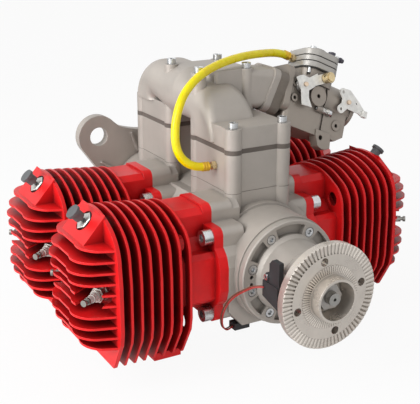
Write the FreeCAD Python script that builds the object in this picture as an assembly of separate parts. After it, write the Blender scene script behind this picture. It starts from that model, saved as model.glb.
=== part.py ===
import FreeCAD, Part
import math
import os

# Flat four-cylinder two-stroke aircraft engine, in millimetres.
# The crankshaft lies on the Y axis, the propeller end points to -Y and up is +Z.
# The origin is the centre of the propeller flange face.

V = FreeCAD.Vector
ORIGIN = V(0, 0, 0)

# Layout along the crankshaft
flange_to_cover = 68.0
cover_rim = 8.0
end_margin = 67.0
bank_offset = 38.0
cylinder_pitch = 135.0

# Crank mechanism
bore = 66.0
stroke = 40.0
rod_length = 88.0
crown_height = 30.0
rod_width = 18.0
pin_radius = 10.0
main_radius = 15.0
web_radius = 36.5
web_thickness = 14.0
running_gap = 0.05

# Crankcase
seat_x = 63.0
tunnel_radius = 38.5
case_radius = 57.0
case_floor = 58.0
case_half_width = 58.0
case_roof = 52.0
arch_radius = 59.5
arch_length = 9.5
carrier_thickness = 40.0
main_bearing_radius = 31.0
main_bearing_width = 16.0

# Cylinder base flange and its bolts
flange_half = 49.8
flange_low = 50.0
flange_high = 50.0
flange_bulge = 61.0
bulge_half = 12.0
bulge_low = 31.0
lobe_half = 26.0
lobe_top = 68.5
base_flange = 10.0
bolt_square = 41.0
bolt_radius = 5.0
bolt_head_radius = 8.0
bolt_head_height = 10.0
bolt_grip = 16.0
fastener_gap = 0.1

# Cylinder barrel and its fins
skirt_reach = 6.0
liner_wall = 3.0
fin_count = 8
fin_first = 105.0
fin_pitch = 10.5
fin_thickness = 2.5
fin_half = 61.0
fin_top = 71.0
fin_top_rise = 1.0
fin_bottom = 77.0
core_half = 40.0
core_corner = 16.0
duct_half = 26.0
duct_top = 66.0
side_duct = 51.0
side_duct_half = 27.0
squish_gap = 1.0
dome_depth = 13.0

# Cylinder head
head_plate = 4.0
leaf_pitch = 11.1
leaf_pairs = 5
leaf_thickness = 2.4
leaf_reach = 27.0
leaf_half = 54.0
head_hood_half = 28.0

# Exhaust outlet under each cylinder
exhaust_from_seat = 54.0
exhaust_width = 36.0
exhaust_height = 22.0
exhaust_drop = 86.0
exhaust_flange = 8.0
exhaust_bolt_half = 24.0

# Spark plugs, two in each head
plug_tip_x = 210.0
plug_tip_y = 43.5
plug_angle = 32.0
plug_length = 32.0
plug_thread_radius = 5.0
plug_thread_length = 24.0
plug_hex = 14.0
plug_pocket = 14.5

# Decompression valves, one in each head
valve_tip_x = 200.5
valve_tip_z = 77.0
valve_angle = 45.0
valve_length = 31.0
valve_hex = 17.0
valve_body_radius = 7.3
valve_thread_radius = 5.0
valve_thread_length = 12.0
button_radius = 7.5
button_height = 9.0
button_travel = 3.5
button_stem = 2.0

# Reed towers
tower_shift = 6.5
tower_bolt_x = 29.3
tower_bolt_y = 36.0
tower_column = 9.0
tower_half_x = 36.0
tower_half_y = 40.0
tower_open_x = 23.0
tower_open_y = 29.0
neck_top = 72.0
housing_height = 40.5
reed_plate = 5.0
flange_height = 21.5
tower_screw_radius = 3.0
tower_screw_head = 5.0
tower_screw_depth = 20.0
reed_half_x = 20.0
reed_half_y = 26.0
reed_drop = 30.0

# Intake manifold: a log with a hood at its front end, and a plenum beside it
log_x = -12.0
log_half = 31.0
log_low = 128.0
log_wall = 4.5
hood_x = -10.5
hood_half = 28.0
hood_axis_y = 213.0
hood_axis_z = 119.0
hood_reach = 53.0
hood_inside = 9.0
bend_axis_y = 297.0
bend_axis_z = 137.0
bend_half = 29.0
log_full_y = 240.0
log_rise_y = 266.0
plenum_top = 184.0
plenum_x0 = -12.0
plenum_x1 = 35.0
plenum_y0 = 201.0
plenum_y1 = 271.0
plenum_column = 8.0
intake_bore = 14.0

# Carburettor, in its own frame: a along the bore, b along the shafts, n up
carb_x = 96.9
carb_y = 218.0
carb_z = 154.2
carb_pitch_angle = 24.0
carb_roll_angle = 17.0
carb_bore = 13.0
carb_face = 22.0
spacer_length = 12.0
spacer_half = 25.0
spacer_corner = 10.0
spacer_n = -13.0
mount_plate_length = 8.0
manifold_plate = 8.0
choke_distance = 67.0
carb_half_b = 19.0
carb_deck = 24.0
carb_floor = 49.0
stack_centre = 26.0
stack_half = 24.6
stack_corner = 15.0
stack_plates = (6.0, 5.5, 7.0)
stack_gasket = 1.2
shaft_radius = 3.5
lever_plane = 25.0
lever_thickness = 1.6
butterfly_thickness = 1.2
swivel_a = 27.0
swivel_n = 16.0
idle_n = -19.0
idle_b = 20.5

# Propeller hub
hub_radius = 53.5
hub_thickness = 9.0
hub_ring_radius = 41.0
hub_ring_depth = 7.0
spigot_radius = 22.0
spigot_bore = 19.5
spigot_length = 12.5
recess_depth = 10.0
prop_circle = 75.0
prop_hole_radius = 4.2
prop_holes = 4
prop_hole_angle = 12.0
tooth_count = 72
outer_tooth_start = 43.0
inner_tooth_start = 24.0
inner_tooth_end = 32.0
tooth_depth = 1.5
shaft_nose_radius = 10.0
shaft_thread_radius = 6.5
shaft_end = 8.0
nut_across_flats = 24.0
nut_height = 9.0
washer_thickness = 1.5
washer_radius = 15.0

# Front bearing cover
cover_radius = 55.5
snout_radius = 37.5
snout_ring_radius = 39.5
snout_gap = 2.0
cover_screw_circle = 45.3
cover_screw_angles = (15, 60, 120, 165, 195, 240, 300, 345)
cover_screw_radius = 2.5
cover_screw_head = 4.7
cover_screw_length = 20.0
cover_pocket_depth = 6.0
pilot_length = 26.0
nose_bearing_radius = 28.0
nose_bearing_width = 14.0
seal_width = 6.0

# Rear mounting cover
mount_plate = 12.0
lug_x = 72.0
lug_z = 80.0
lug_radius = 26.0
lug_hole_radius = 11.5
mount_web_top = 90.0
rib_height = 3.0

# Speed sensor and its leads
sensor_face = 40.0
sensor_depth = 6.0
sensor_front = 21.0
sensor_rear = 47.0
sensor_screw_y = 40.3
sensor_screw_z = 15.0
sensor_screw_radius = 1.5
sensor_screw_head = 3.0
sensor_screw_length = 10.0
lead_radius = 0.8
connector_length = 18.0
connector_width = 12.0
connector_height = 7.0
lead_spacing = 3.0
LEAD_POINTS = [
    (-46.8, 45, 3.4), (-52, 52.8, 2), (-57, 59.8, -3.4), (-63, 70.7, -12.2), (-67, 78.1, -22.2),
    (-69, 83.4, -33.8), (-69, 86.4, -43.8), (-66, 90, -53), (-60, 94, -60), (-54, 98, -62.5),
    (-48, 101, -62),
]

# Impulse hose
hose_radius = 4.5
hose_bore = 2.4
fitting_reach = 8.0
tower_fitting_y = 157.0
tower_fitting_z = 95.5
hose_straight = 13.0
hose_fitting_b = 5.0
HOSE_POINTS = [
    (-68.9, 158, 100.6), (-77.8, 159.9, 109.9), (-82.2, 162.3, 121.9), (-81, 165.8, 139.5),
    (-75, 170, 157.5), (-63, 177, 174), (-41, 187, 186.5), (-10, 200, 193.5), (27, 214, 196.5),
    (62, 225.5, 195),
]

# Places worked out from the layout
case_front = flange_to_cover + cover_rim
left_front_y = case_front + end_margin
right_front_y = left_front_y + bank_offset
left_rear_y = left_front_y + cylinder_pitch
right_rear_y = right_front_y + cylinder_pitch
case_rear = right_rear_y + end_margin
tower_front_y = (left_front_y + right_front_y) / 2 + tower_shift
tower_rear_y = tower_front_y + cylinder_pitch
crank_throw = stroke / 2
crown_out = crank_throw + rod_length + crown_height
crown_in = crown_out - stroke
bore_radius = bore / 2
housing_top = neck_top + housing_height
plate_top = housing_top + reed_plate
flange_top = plate_top + flange_height
head_x = fin_first + (fin_count - 1) * fin_pitch
flange_out = seat_x + base_flange
carrier_y = (right_front_y + left_rear_y) / 2

# Side is -1 for the left bank and +1 for the right bank
CYLINDERS = {
    "left_front": (-1, left_front_y, 1),
    "right_front": (1, right_front_y, 1),
    "left_rear": (-1, left_rear_y, -1),
    "right_rear": (1, right_rear_y, -1),
}


# Small building blocks

def rod(radius, start, end):
    """Round bar between two points."""
    along = V(*end) - V(*start)
    return Part.makeCylinder(radius, along.Length, V(*start), along)


def tube(outer, inner, start, end):
    """Round pipe between two points."""
    return rod(outer, start, end).cut(rod(inner, start, end))


def block(x0, x1, y0, y1, z0, z1):
    """Rectangular block between two corners."""
    return Part.makeBox(x1 - x0, y1 - y0, z1 - z0, V(x0, y0, z0))


def on_plane(plane, at):
    """Function that puts a flat point on a plane of the model."""
    places = {
        "YZ": lambda u, w: V(at, u, w),
        "XZ": lambda u, w: V(u, at, w),
        "XY": lambda u, w: V(u, w, at),
    }
    return places[plane]


NORMALS = {"YZ": V(1, 0, 0), "XZ": V(0, 1, 0), "XY": V(0, 0, 1)}


def outline(plane, at, start, *steps):
    """Flat face. A step is a point for a line, or (middle, end) for an arc."""
    place = on_plane(plane, at)
    edges = []
    here = start
    for step in steps + (start,):
        if isinstance(step[0], tuple):
            middle, end = step
            edges.append(Part.Arc(place(*here), place(*middle), place(*end)).toShape())
        else:
            end = step
            if math.dist(here, end) > 1e-6:
                edges.append(Part.LineSegment(place(*here), place(*end)).toShape())
        here = end
    return Part.Face(Part.Wire(edges))


def prism(plane, at, depth, start, *steps):
    """Outline carried along the normal of its plane."""
    return outline(plane, at, start, *steps).extrude(NORMALS[plane] * depth)


def rounded(half_u, half_w, corner, u=0.0, w=0.0):
    """Steps of a rectangle with round corners about a centre."""
    cut = corner * (1 - math.sqrt(0.5))
    steps = [(u - half_u + corner, w - half_w)]
    for su, sw in ((1, -1), (1, 1), (-1, 1), (-1, -1)):
        near = (u + su * (half_u - corner), w + sw * half_w)
        far = (u + su * half_u, w + sw * (half_w - corner))
        middle = (u + su * (half_u - cut), w + sw * (half_w - cut))
        first, last = (near, far) if su * sw < 0 else (far, near)
        steps.append(first)
        steps.append((middle, last))
    return steps


def spin(profile_points, axis_point=ORIGIN):
    """Solid of revolution about Y from (radius, y) points."""
    points = [V(radius, y, 0) for radius, y in profile_points]
    face = Part.Face(Part.makePolygon(points + points[:1]))
    return face.revolve(axis_point, V(0, 1, 0), 360)


def fuse(shapes):
    """One solid from pieces that meet."""
    joined = shapes[0].multiFuse(shapes[1:])
    return joined.removeSplitter()


def cut(shape, tools):
    """Shape with a list of tools taken out of it."""
    return shape.cut(tools).removeSplitter()


def moved(shape, offset):
    """Copy of a shape at an offset."""
    copy = shape.copy()
    copy.translate(V(*offset))
    return copy


def for_bank(shape, side, y):
    """Copy of a right-hand shape on the given bank at a place along the engine."""
    copy = shape.copy() if side > 0 else shape.mirror(ORIGIN, V(1, 0, 0))
    copy.translate(V(0, y, 0))
    return copy


def at_every_cylinder(shape):
    """One copy of a right-hand shape on each cylinder."""
    return [for_bank(shape, side, y) for side, y, _ in CYLINDERS.values()]


def hexagon(across_flats, start, end):
    """Six-sided bar between two points."""
    along = V(*end) - V(*start)
    corner = across_flats / math.sqrt(3)
    points = [V(corner * math.cos(k * math.pi / 3), corner * math.sin(k * math.pi / 3), 0)
              for k in range(7)]
    bar = Part.Face(Part.makePolygon(points)).extrude(V(0, 0, along.Length))
    bar.Placement = FreeCAD.Placement(V(*start), FreeCAD.Rotation(V(0, 0, 1), along))
    return bar


def socket_screw(radius, head_radius, head_height, seat, tip):
    """Socket head screw: its head seats at seat and its shank ends at tip."""
    down = (V(*tip) - V(*seat)).normalize()
    top = V(*seat) - down * head_height
    floor = top + down * head_height * 0.55
    head = rod(head_radius, tuple(top), seat)
    screw = head.fuse(rod(radius, seat, tip))
    return screw.cut(hexagon(head_radius, tuple(top), tuple(floor))).removeSplitter()


def save(name, shape):
    """Write one sub-part."""
    shapes = shape if isinstance(shape, list) else [shape]
    solids = [solid for item in shapes for solid in item.Solids]
    result = solids[0] if len(solids) == 1 else Part.makeCompound(solids)
    result.exportStep("parts/%s.step" % name)
    print(name, len(solids), "solids", len(result.Faces), "faces", round(result.Volume / 1000, 1))


# Crankcase

def flange_steps():
    """Outline of a cylinder seat: bolt corners, a bulge on each side and a duct lobe on top."""
    half = flange_half
    low = flange_low
    high = flange_high
    wide = flange_bulge
    lobe = lobe_half
    top = lobe_top
    r = 8.0
    k = r * (1 - math.sqrt(0.5))
    near = wide - 3.5
    far = bulge_low - 7.5
    return [
        (-half + r, -low),
        (half - r, -low), ((half - k, -low + k), (half, -low + r)),
        (half, -bulge_low), (near, -far), (wide, -bulge_half), (wide, bulge_half), (near, far),
        (half, bulge_low),
        (half, high - r), ((half - k, high - k), (half - r, high)),
        (lobe, high),
        (lobe, top - r), ((lobe - k, top - k), (lobe - r, top)),
        (-lobe + r, top), ((-lobe + k, top - k), (-lobe, top - r)),
        (-lobe, high),
        (-half + r, high), ((-half + k, high - k), (-half, high - r)),
        (-half, bulge_low), (-near, far), (-wide, bulge_half), (-wide, -bulge_half), (-near, -far),
        (-half, -bulge_low),
        (-half, -low + r), ((-half + k, -low + k), (-half + r, -low)),
    ]


def tower_body(y, z0, z1):
    """Square casting with a screw column on each corner."""
    pieces = [block(-tower_half_x, tower_half_x, y - tower_half_y, y + tower_half_y, z0, z1)]
    for x, dy in tower_corners():
        pieces.append(rod(tower_column, (x, y + dy, z0), (x, y + dy, z1)))
    return fuse(pieces)


def tower_corners():
    """Places of the four screws of a tower, from its centre."""
    return [(x, y) for x in (-tower_bolt_x, tower_bolt_x) for y in (-tower_bolt_y, tower_bolt_y)]


def tower_opening(y, z0, z1):
    """Passage through a tower."""
    return block(-tower_open_x, tower_open_x, y - tower_open_y, y + tower_open_y, z0, z1)


def circle_points(radius, angles, y):
    """Points on a circle about the crankshaft."""
    return [(radius * math.cos(math.radians(a)), y, radius * math.sin(math.radians(a)))
            for a in angles]


def bolt_places():
    """Base bolt places of one cylinder, across its axis."""
    return [(y, z) for y in (-bolt_square, bolt_square) for z in (-bolt_square, bolt_square)]


def make_crankcase():
    """Tunnel crankcase with four cylinder seats and two reed towers."""
    boss = 14.0
    low = case_floor
    wide = case_half_width
    front = tower_front_y - tower_half_y
    rear = tower_rear_y + tower_half_y
    sump = prism("XZ", case_front + boss, case_rear - case_front - 2 * boss,
                 (-wide + 16, -low), (wide - 16, -low), (wide, -low + 18), (wide, 0), (-wide, 0),
                 (-wide, -low + 18))
    deck = prism("XZ", front - 2, rear - front + 4,
                 (-wide, -5), (wide, -5), (wide, case_roof - 16), (wide - 18, case_roof),
                 (-wide + 18, case_roof), (-wide, case_roof - 16))
    arch = rod(arch_radius, (0, front - arch_length, 0), (0, rear + arch_length, 0))
    upper = block(-seat_x, seat_x, case_front, case_rear, 0, neck_top)
    pieces = [sump, deck, arch.common(upper), rod(case_radius, (0, case_front, 0), (0, case_rear, 0))]
    pad = prism("YZ", seat_x - 24, 24, *flange_steps())
    pieces += at_every_cylinder(pad)
    duct = prism("YZ", tower_half_x - 6, seat_x - tower_half_x + 6,
                 (-lobe_half, 20), (lobe_half, 20), (lobe_half, lobe_top - 8),
                 (lobe_half - 8, lobe_top), (-lobe_half + 8, lobe_top), (-lobe_half, lobe_top - 8))
    pieces += at_every_cylinder(duct)
    for y in (tower_front_y, tower_rear_y):
        pieces.append(tower_body(y, case_roof - 30, neck_top))
    body = fuse(pieces)

    tools = [rod(tunnel_radius, (0, case_front - 1, 0), (0, case_rear + 1, 0))]
    mouth = rod(bore_radius + liner_wall + fastener_gap, (20, 0, 0), (seat_x + 1, 0, 0))
    tools += at_every_cylinder(mouth)
    for side in (-1, 1):
        transfer = block(seat_x - 26, seat_x + 1, side * 43 - 5, side * 43 + 5, -16, 16)
        tools += at_every_cylinder(transfer)
    for y, z in bolt_places():
        hole = rod(bolt_radius, (seat_x - bolt_grip - 2, y, z), (seat_x + 1, y, z))
        tools += at_every_cylinder(hole)
    for y in (tower_front_y, tower_rear_y):
        tools.append(tower_opening(y, 0, neck_top + 1))
        for x, dy in tower_corners():
            tools.append(rod(tower_screw_radius + fastener_gap,
                             (x, y + dy, neck_top - tower_screw_depth - 2), (x, y + dy, neck_top + 1)))
    for y0, y1 in ((case_front - 1, case_front + 14), (case_rear - 14, case_rear + 1)):
        for x, _, z in circle_points(cover_screw_circle, cover_screw_angles, 0):
            tools.append(rod(cover_screw_radius + fastener_gap, (x, y0, z), (x, y1, z)))
    return cut(body, tools)


# Bearing covers

def bearing_pocket(y0, y1):
    """Pocket for a main roller bearing."""
    return rod(main_bearing_radius, (0, y0, 0), (0, y1, 0))


def cover_screw_tools(y0, y1, head_y):
    """Clearance holes and counterbores for a ring of cover screws."""
    tools = []
    for x, _, z in circle_points(cover_screw_circle, cover_screw_angles, 0):
        tools.append(rod(cover_screw_radius + fastener_gap, (x, y0, z), (x, y1, z)))
        tools.append(rod(cover_screw_head + 0.5, (x, head_y, z), (x, head_y + 4.2, z)))
    return tools


def make_front_cover():
    """Bearing cover with a nose that reaches forward to the propeller hub."""
    nose_y = hub_thickness + hub_ring_depth + snout_gap
    pilot_end = case_front + pilot_length
    face_y = flange_to_cover
    cover = spin([
        (main_radius + 2, nose_y + seal_width), (nose_bearing_radius, nose_y + seal_width),
        (nose_bearing_radius, nose_y), (snout_ring_radius, nose_y),
        (snout_ring_radius, nose_y + 12), (snout_radius, nose_y + 15),
        (snout_radius, face_y - 4), (snout_radius + 3, face_y),
        (cover_radius - 1, face_y), (cover_radius, face_y + 1),
        (cover_radius, case_front), (tunnel_radius - running_gap, case_front),
        (tunnel_radius - running_gap, pilot_end), (main_radius + 2, pilot_end),
    ])
    nose_bearing_end = nose_y + seal_width + nose_bearing_width
    tools = [
        rod(nose_bearing_radius, (0, nose_y - 1, 0), (0, nose_bearing_end, 0)),
        bearing_pocket(pilot_end - main_bearing_width, pilot_end + 1),
        rod(main_radius + 6, (0, nose_bearing_end - 1, 0), (0, pilot_end - 1, 0)),
    ]
    tools += cover_screw_tools(face_y - 1, case_front + 1, face_y - 0.2)
    pocket_ring = tube(cover_radius - 4.3, snout_radius + 3.5,
                       (0, face_y - 1, 0), (0, face_y + cover_pocket_depth, 0))
    spans = [(25, 50), (70, 110), (130, 155), (205, 230), (250, 290), (310, 335)]
    for a0, a1 in spans:
        t0, t1 = math.radians(a0), math.radians(a1)
        far = cover_radius * 1.6
        wedge = prism("XZ", face_y - 2, cover_pocket_depth + 4, (0, 0),
                      (far * math.cos(t0), far * math.sin(t0)),
                      (far * math.cos(t1), far * math.sin(t1)))
        tools.append(pocket_ring.common(wedge))
    for x, _, z in circle_points(cover_screw_circle, (5, 130 + 45, 355, 185), 0):
        tools.append(rod(2.0, (x, face_y - 1, z), (x, face_y + 6, z)))
    cover = cut(cover, tools)
    pad = block(-sensor_face, -snout_radius + 6, sensor_front + 1, sensor_rear - 1, -12, 20)
    shelf = pad.cut(rod(snout_radius - 2, (0, sensor_front, 0), (0, sensor_rear, 0)))
    screw_hole = rod(sensor_screw_radius + fastener_gap,
                     (-sensor_face - 8, sensor_screw_y, sensor_screw_z),
                     (-snout_radius + 6, sensor_screw_y, sensor_screw_z))
    return cut(fuse([cover, shelf]), [screw_hole])


def lug_centres():
    """Places of the four engine mount holes."""
    return [(x, z) for x in (-lug_x, lug_x) for z in (-lug_z, lug_z)]


def make_rear_cover():
    """Rear bearing cover with four mounting lugs on its plate."""
    y0 = case_rear
    y1 = case_rear + mount_plate
    pieces = [
        rod(case_radius, (0, y0, 0), (0, y1, 0)),
        rod(tunnel_radius - running_gap, (0, y0 - pilot_length, 0), (0, y0 + 1, 0)),
        rod(main_bearing_radius + 3, (0, y0, 0), (0, y1 + 6, 0)),
    ]
    web = mount_web_top
    centre = prism("XZ", y0, mount_plate,
                   (-50, -40), ((-44, 0), (-50, 40)), (-44, web),
                   ((0, web - 8), (44, web)), (50, 40), ((44, 0), (50, -40)),
                   (44, -web), ((0, 8 - web), (-44, -web)))
    pieces.append(centre)
    for x, z in lug_centres():
        sx = math.copysign(1, x)
        sz = math.copysign(1, z)
        pieces.append(rod(lug_radius, (x, y0, z), (x, y1, z)))
        reach = math.hypot(x, z)
        ux, uz = x / reach, z / reach
        px, pz = -uz * lug_radius, ux * lug_radius
        pieces.append(prism("XZ", y0, mount_plate, (x + px, z + pz), (x - px, z - pz),
                            (x * 0.3 - px * 1.35, z * 0.3 - pz * 1.35),
                            (x * 0.3 + px * 1.35, z * 0.3 + pz * 1.35)))
        for turn in (-14, 22):
            angle = math.atan2(z, x) + math.radians(turn) * sx * sz
            rib = block(60, 60 + 26, -rib_height, 1, -1.5, 1.5)
            rib.rotate(ORIGIN, V(0, 1, 0), -math.degrees(angle))
            pieces.append(moved(rib, (0, y0, 0)))
    plate = fuse(pieces)
    tools = [rod(lug_hole_radius, (x, y0 - 5, z), (x, y1 + 5, z)) for x, z in lug_centres()]
    tools.append(bearing_pocket(y0 - pilot_length - 1, y0 - pilot_length + main_bearing_width))
    tools.append(rod(main_radius + 3, (0, y0 - pilot_length, 0), (0, y0 + 2, 0)))
    for x, _, z in circle_points(cover_screw_circle, cover_screw_angles, 0):
        tools.append(rod(cover_screw_radius + fastener_gap, (x, y0 - 1, z), (x, y1 + 1, z)))
        tools.append(rod(cover_screw_head + 0.5, (x, y1 - 4.2, z), (x, y1 + 1, z)))
    return cut(plate, tools)


def make_cover_screws():
    """Socket screws of both covers."""
    screws = []
    head = 4.0
    for x, _, z in circle_points(cover_screw_circle, cover_screw_angles, 0):
        front = flange_to_cover + head
        screws.append(socket_screw(cover_screw_radius, cover_screw_head, head - 0.2,
                                   (x, front, z), (x, front + cover_screw_length - 6, z)))
        rear = case_rear + mount_plate - 4.2
        screws.append(socket_screw(cover_screw_radius, cover_screw_head, head - 0.2,
                                   (x, rear, z), (x, rear - cover_screw_length, z)))
    return screws


def make_carrier():
    """Disc that carries the centre bearing inside the crankcase tunnel."""
    half = carrier_thickness / 2
    disc = rod(tunnel_radius - running_gap, (0, carrier_y - half, 0), (0, carrier_y + half, 0))
    middle = main_bearing_width / 2
    return cut(disc, [
        bearing_pocket(carrier_y - middle, carrier_y + half + 1),
        rod(main_radius + 1.5, (0, carrier_y - half - 1, 0), (0, carrier_y, 0)),
    ])


def main_bearing_spots():
    """Start of each main roller bearing along the shaft."""
    return [case_front + pilot_length - main_bearing_width,
            carrier_y - main_bearing_width / 2,
            case_rear - pilot_length]


def make_bearings():
    """Outer rings, rollers and inner rings of the main bearings and the nose bearing."""
    nose_y = hub_thickness + hub_ring_depth + snout_gap + seal_width
    spots = [(y, main_bearing_width, main_bearing_radius) for y in main_bearing_spots()]
    spots.append((nose_y, nose_bearing_width, nose_bearing_radius))
    outer, rollers, inner = [], [], []
    for y, width, radius in spots:
        y0, y1 = y + 0.1, y + width - 0.1
        inner_radius = main_radius + 3.5
        race = radius - 4.5
        outer.append(tube(radius, race, (0, y0, 0), (0, y1, 0)))
        inner.append(tube(inner_radius, main_radius, (0, y0, 0), (0, y1, 0)))
        roller = (race - inner_radius) / 2 - running_gap
        middle = (race + inner_radius) / 2 + running_gap / 2
        for angle in range(0, 360, 45):
            x = middle * math.cos(math.radians(angle))
            z = middle * math.sin(math.radians(angle))
            rollers.append(rod(roller, (x, y0 + 1, z), (x, y1 - 1, z)))
    return outer, rollers, inner


def make_seal():
    """Lip seal in front of the nose bearing."""
    y0 = hub_thickness + hub_ring_depth + snout_gap
    return tube(nose_bearing_radius, main_radius + 5.3, (0, y0 + 0.3, 0), (0, y0 + seal_width, 0))


# Crankshaft and propeller hub

def make_crankshaft():
    """Built-up crankshaft with one throw for each cylinder."""
    half_rod = rod_width / 2
    pieces = []
    for first, last, out in ((left_front_y, right_front_y, 1), (left_rear_y, right_rear_y, -1)):
        pin_first = -crank_throw * out
        pin_last = crank_throw * out
        webs = ((first - half_rod - web_thickness, first - half_rod),
                (first + half_rod, last - half_rod),
                (last + half_rod, last + half_rod + web_thickness))
        for y0, y1 in webs:
            pieces.append(rod(web_radius, (0, y0, 0), (0, y1, 0)))
        pieces.append(rod(pin_radius, (pin_first, first - half_rod - 2, 0),
                          (pin_first, first + half_rod + 2, 0)))
        pieces.append(rod(pin_radius, (pin_last, last - half_rod - 2, 0),
                          (pin_last, last + half_rod + 2, 0)))
    front_web = left_front_y - half_rod - web_thickness
    nose_y = hub_thickness + hub_ring_depth + 8
    pieces.append(rod(main_radius, (0, nose_y, 0), (0, front_web + 2, 0)))
    pieces.append(rod(main_radius, (0, right_front_y + half_rod + web_thickness - 2, 0),
                      (0, left_rear_y - half_rod - web_thickness + 2, 0)))
    pieces.append(rod(main_radius, (0, right_rear_y + half_rod + web_thickness - 2, 0),
                      (0, case_rear - 4, 0)))
    pieces.append(rod(shaft_nose_radius, (0, recess_depth, 0), (0, nose_y + 1, 0)))
    pieces.append(rod(shaft_thread_radius, (0, -shaft_end, 0), (0, recess_depth + 1, 0)))
    shaft = fuse(pieces)
    tools = [rod(1.6, (0, -shaft_end - 1, 0), (0, -shaft_end + 6, 0))]
    for first, last in ((left_front_y, right_front_y), (left_rear_y, right_rear_y)):
        for y0 in (first - half_rod - web_thickness, last + half_rod):
            for sz in (-1, 1):
                z0, z1 = sorted((sz * 27.0, sz * (web_radius + 2)))
                tools.append(block(-web_radius, web_radius, y0 - 0.5, y0 + web_thickness + 0.5, z0, z1))
    return cut(shaft, tools)


def face_groove(r0, r1, width, depth, face_y):
    """Radial V groove in the hub face, on the +X side."""
    half = width / 2
    return prism("YZ", r0, r1 - r0, (face_y - 0.5, -half * 1.3), (face_y - 0.5, half * 1.3),
                 (face_y + depth, 0))


def make_hub():
    """Propeller hub with two rings of driving teeth and a centring spigot."""
    neck_radius = main_radius + 5
    raised = 0.8
    hub = spin([
        (spigot_bore, -spigot_length), (spigot_radius, -spigot_length), (spigot_radius, -raised),
        (inner_tooth_end, -raised), (inner_tooth_end, 0), (hub_radius - 0.8, 0), (hub_radius, 0.8),
        (hub_radius, hub_thickness), (hub_ring_radius, hub_thickness),
        (hub_ring_radius, hub_thickness + hub_ring_depth), (neck_radius, hub_thickness + hub_ring_depth),
        (neck_radius, hub_thickness + hub_ring_depth + 8),
        (shaft_nose_radius, hub_thickness + hub_ring_depth + 8),
        (shaft_nose_radius, recess_depth), (spigot_bore, recess_depth),
    ])
    outer_pitch = 2 * math.pi * hub_radius / tooth_count
    inner_pitch = 2 * math.pi * inner_tooth_end / tooth_count
    outer = face_groove(outer_tooth_start, hub_radius + 2, outer_pitch * 0.6, tooth_depth, 0)
    inner = face_groove(inner_tooth_start, inner_tooth_end + 1, inner_pitch * 0.6,
                        tooth_depth * 0.6, -raised)
    tools = []
    for k in range(tooth_count):
        for groove in (outer, inner):
            tool = groove.copy()
            tool.rotate(ORIGIN, V(0, 1, 0), k * 360.0 / tooth_count)
            tools.append(tool)
    for k in range(prop_holes):
        angle = prop_hole_angle + k * 360.0 / prop_holes
        x, _, z = circle_points(prop_circle / 2, (angle,), 0)[0]
        tools.append(rod(prop_hole_radius, (x, -2, z), (x, hub_thickness + hub_ring_depth + 1, z)))
    return cut(hub, tools)


def make_hub_nut():
    """Hub nut and its washer at the bottom of the spigot."""
    seat = recess_depth - washer_thickness
    washer = tube(washer_radius, shaft_thread_radius, (0, seat, 0), (0, recess_depth, 0))
    nut = hexagon(nut_across_flats, (0, seat - nut_height, 0), (0, seat, 0))
    nut = nut.cut(rod(shaft_thread_radius, (0, seat - nut_height - 1, 0), (0, seat + 1, 0)))
    return [nut, washer]


# Pistons

def piston_place(side, y, out):
    """Crown position of a piston at rest."""
    return crown_out if out > 0 else crown_in


def make_piston(crown):
    """Right-hand piston with its crown at the given distance from the crankshaft."""
    radius = bore_radius - running_gap
    length = 54.0
    pin_x = crown - crown_height
    body = rod(radius, (crown - length, 0, 0), (crown, 0, 0))
    tools = [
        rod(radius - 5, (crown - length - 1, 0, 0), (crown - 8, 0, 0)),
    ]
    for k in range(2):
        x = crown - 6 - k * 5
        tools.append(tube(radius + 1, radius - 2.6, (x - 1.5, 0, 0), (x, 0, 0)))
    body = cut(body, tools)
    bosses = rod(10, (pin_x, -radius + 2, 0), (pin_x, -14, 0)).fuse(
        rod(10, (pin_x, 14, 0), (pin_x, radius - 2, 0)))
    body = fuse([body, bosses])
    windows = [rod(7, (pin_x, -radius - 1, 0), (pin_x, radius + 1, 0))]
    return cut(body, windows)


def make_pin_and_rings(crown):
    """Gudgeon pin and two rings of a right-hand piston."""
    radius = bore_radius - running_gap
    pin_x = crown - crown_height
    pin = tube(7, 4, (pin_x, -radius + 3, 0), (pin_x, radius - 3, 0))
    rings = []
    for k in range(2):
        x = crown - 6 - k * 5
        rings.append(tube(radius, radius - 2.5, (x - 1.4, 0, 0), (x - 0.1, 0, 0)))
    return [pin] + rings


# Cylinders

def fin_outline(x, thickness, top):
    """One barrel fin: crowned top, round shoulders and chamfered lower corners."""
    low = fin_bottom
    side = fin_half
    drop = top - 71.0
    return prism("YZ", x - thickness / 2, thickness,
                 (-40, -low), (40, -low), (47, -low + 12), (side - 2.5, -45), (side, -32),
                 (side, 16), (side - 2, 35),
                 ((side - 7, 50 + drop / 2), (40.7, 60 + drop)),
                 ((0, top), (-40.7, 60 + drop)),
                 ((-side + 7, 50 + drop / 2), (-side + 2, 35)),
                 (-side, 16), (-side, -32), (-side + 2.5, -45), (-47, -low + 12))


def leaf_outline(z, reach):
    """One horizontal head fin with a rounded nose."""
    x0 = head_x
    x1 = head_x + reach
    half = leaf_half
    return prism("XY", z - leaf_thickness / 2, leaf_thickness,
                 (x0, -half), (x0 + 0.6 * reach, -half + 7),
                 ((x1 - 1.5, -half + 18), (x1, -14)), (x1, 14),
                 ((x1 - 1.5, half - 18), (x0 + 0.6 * reach, half - 7)), (x0, half))


def plug_axis(sign):
    """Tip and inward direction of a spark plug."""
    angle = math.radians(plug_angle)
    tip = V(plug_tip_x, sign * plug_tip_y, 0)
    inward = V(-math.cos(angle), -sign * math.sin(angle), 0)
    return tip, inward


def plug_point(sign, distance):
    """Point on a spark plug's axis, measured inwards from its tip."""
    tip, inward = plug_axis(sign)
    return tuple(tip + inward * distance)


def valve_point(distance):
    """Point on the decompression valve's axis, measured inwards from its tip."""
    angle = math.radians(valve_angle)
    return (valve_tip_x - distance * math.cos(angle), 0, valve_tip_z - distance * math.sin(angle))


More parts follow.
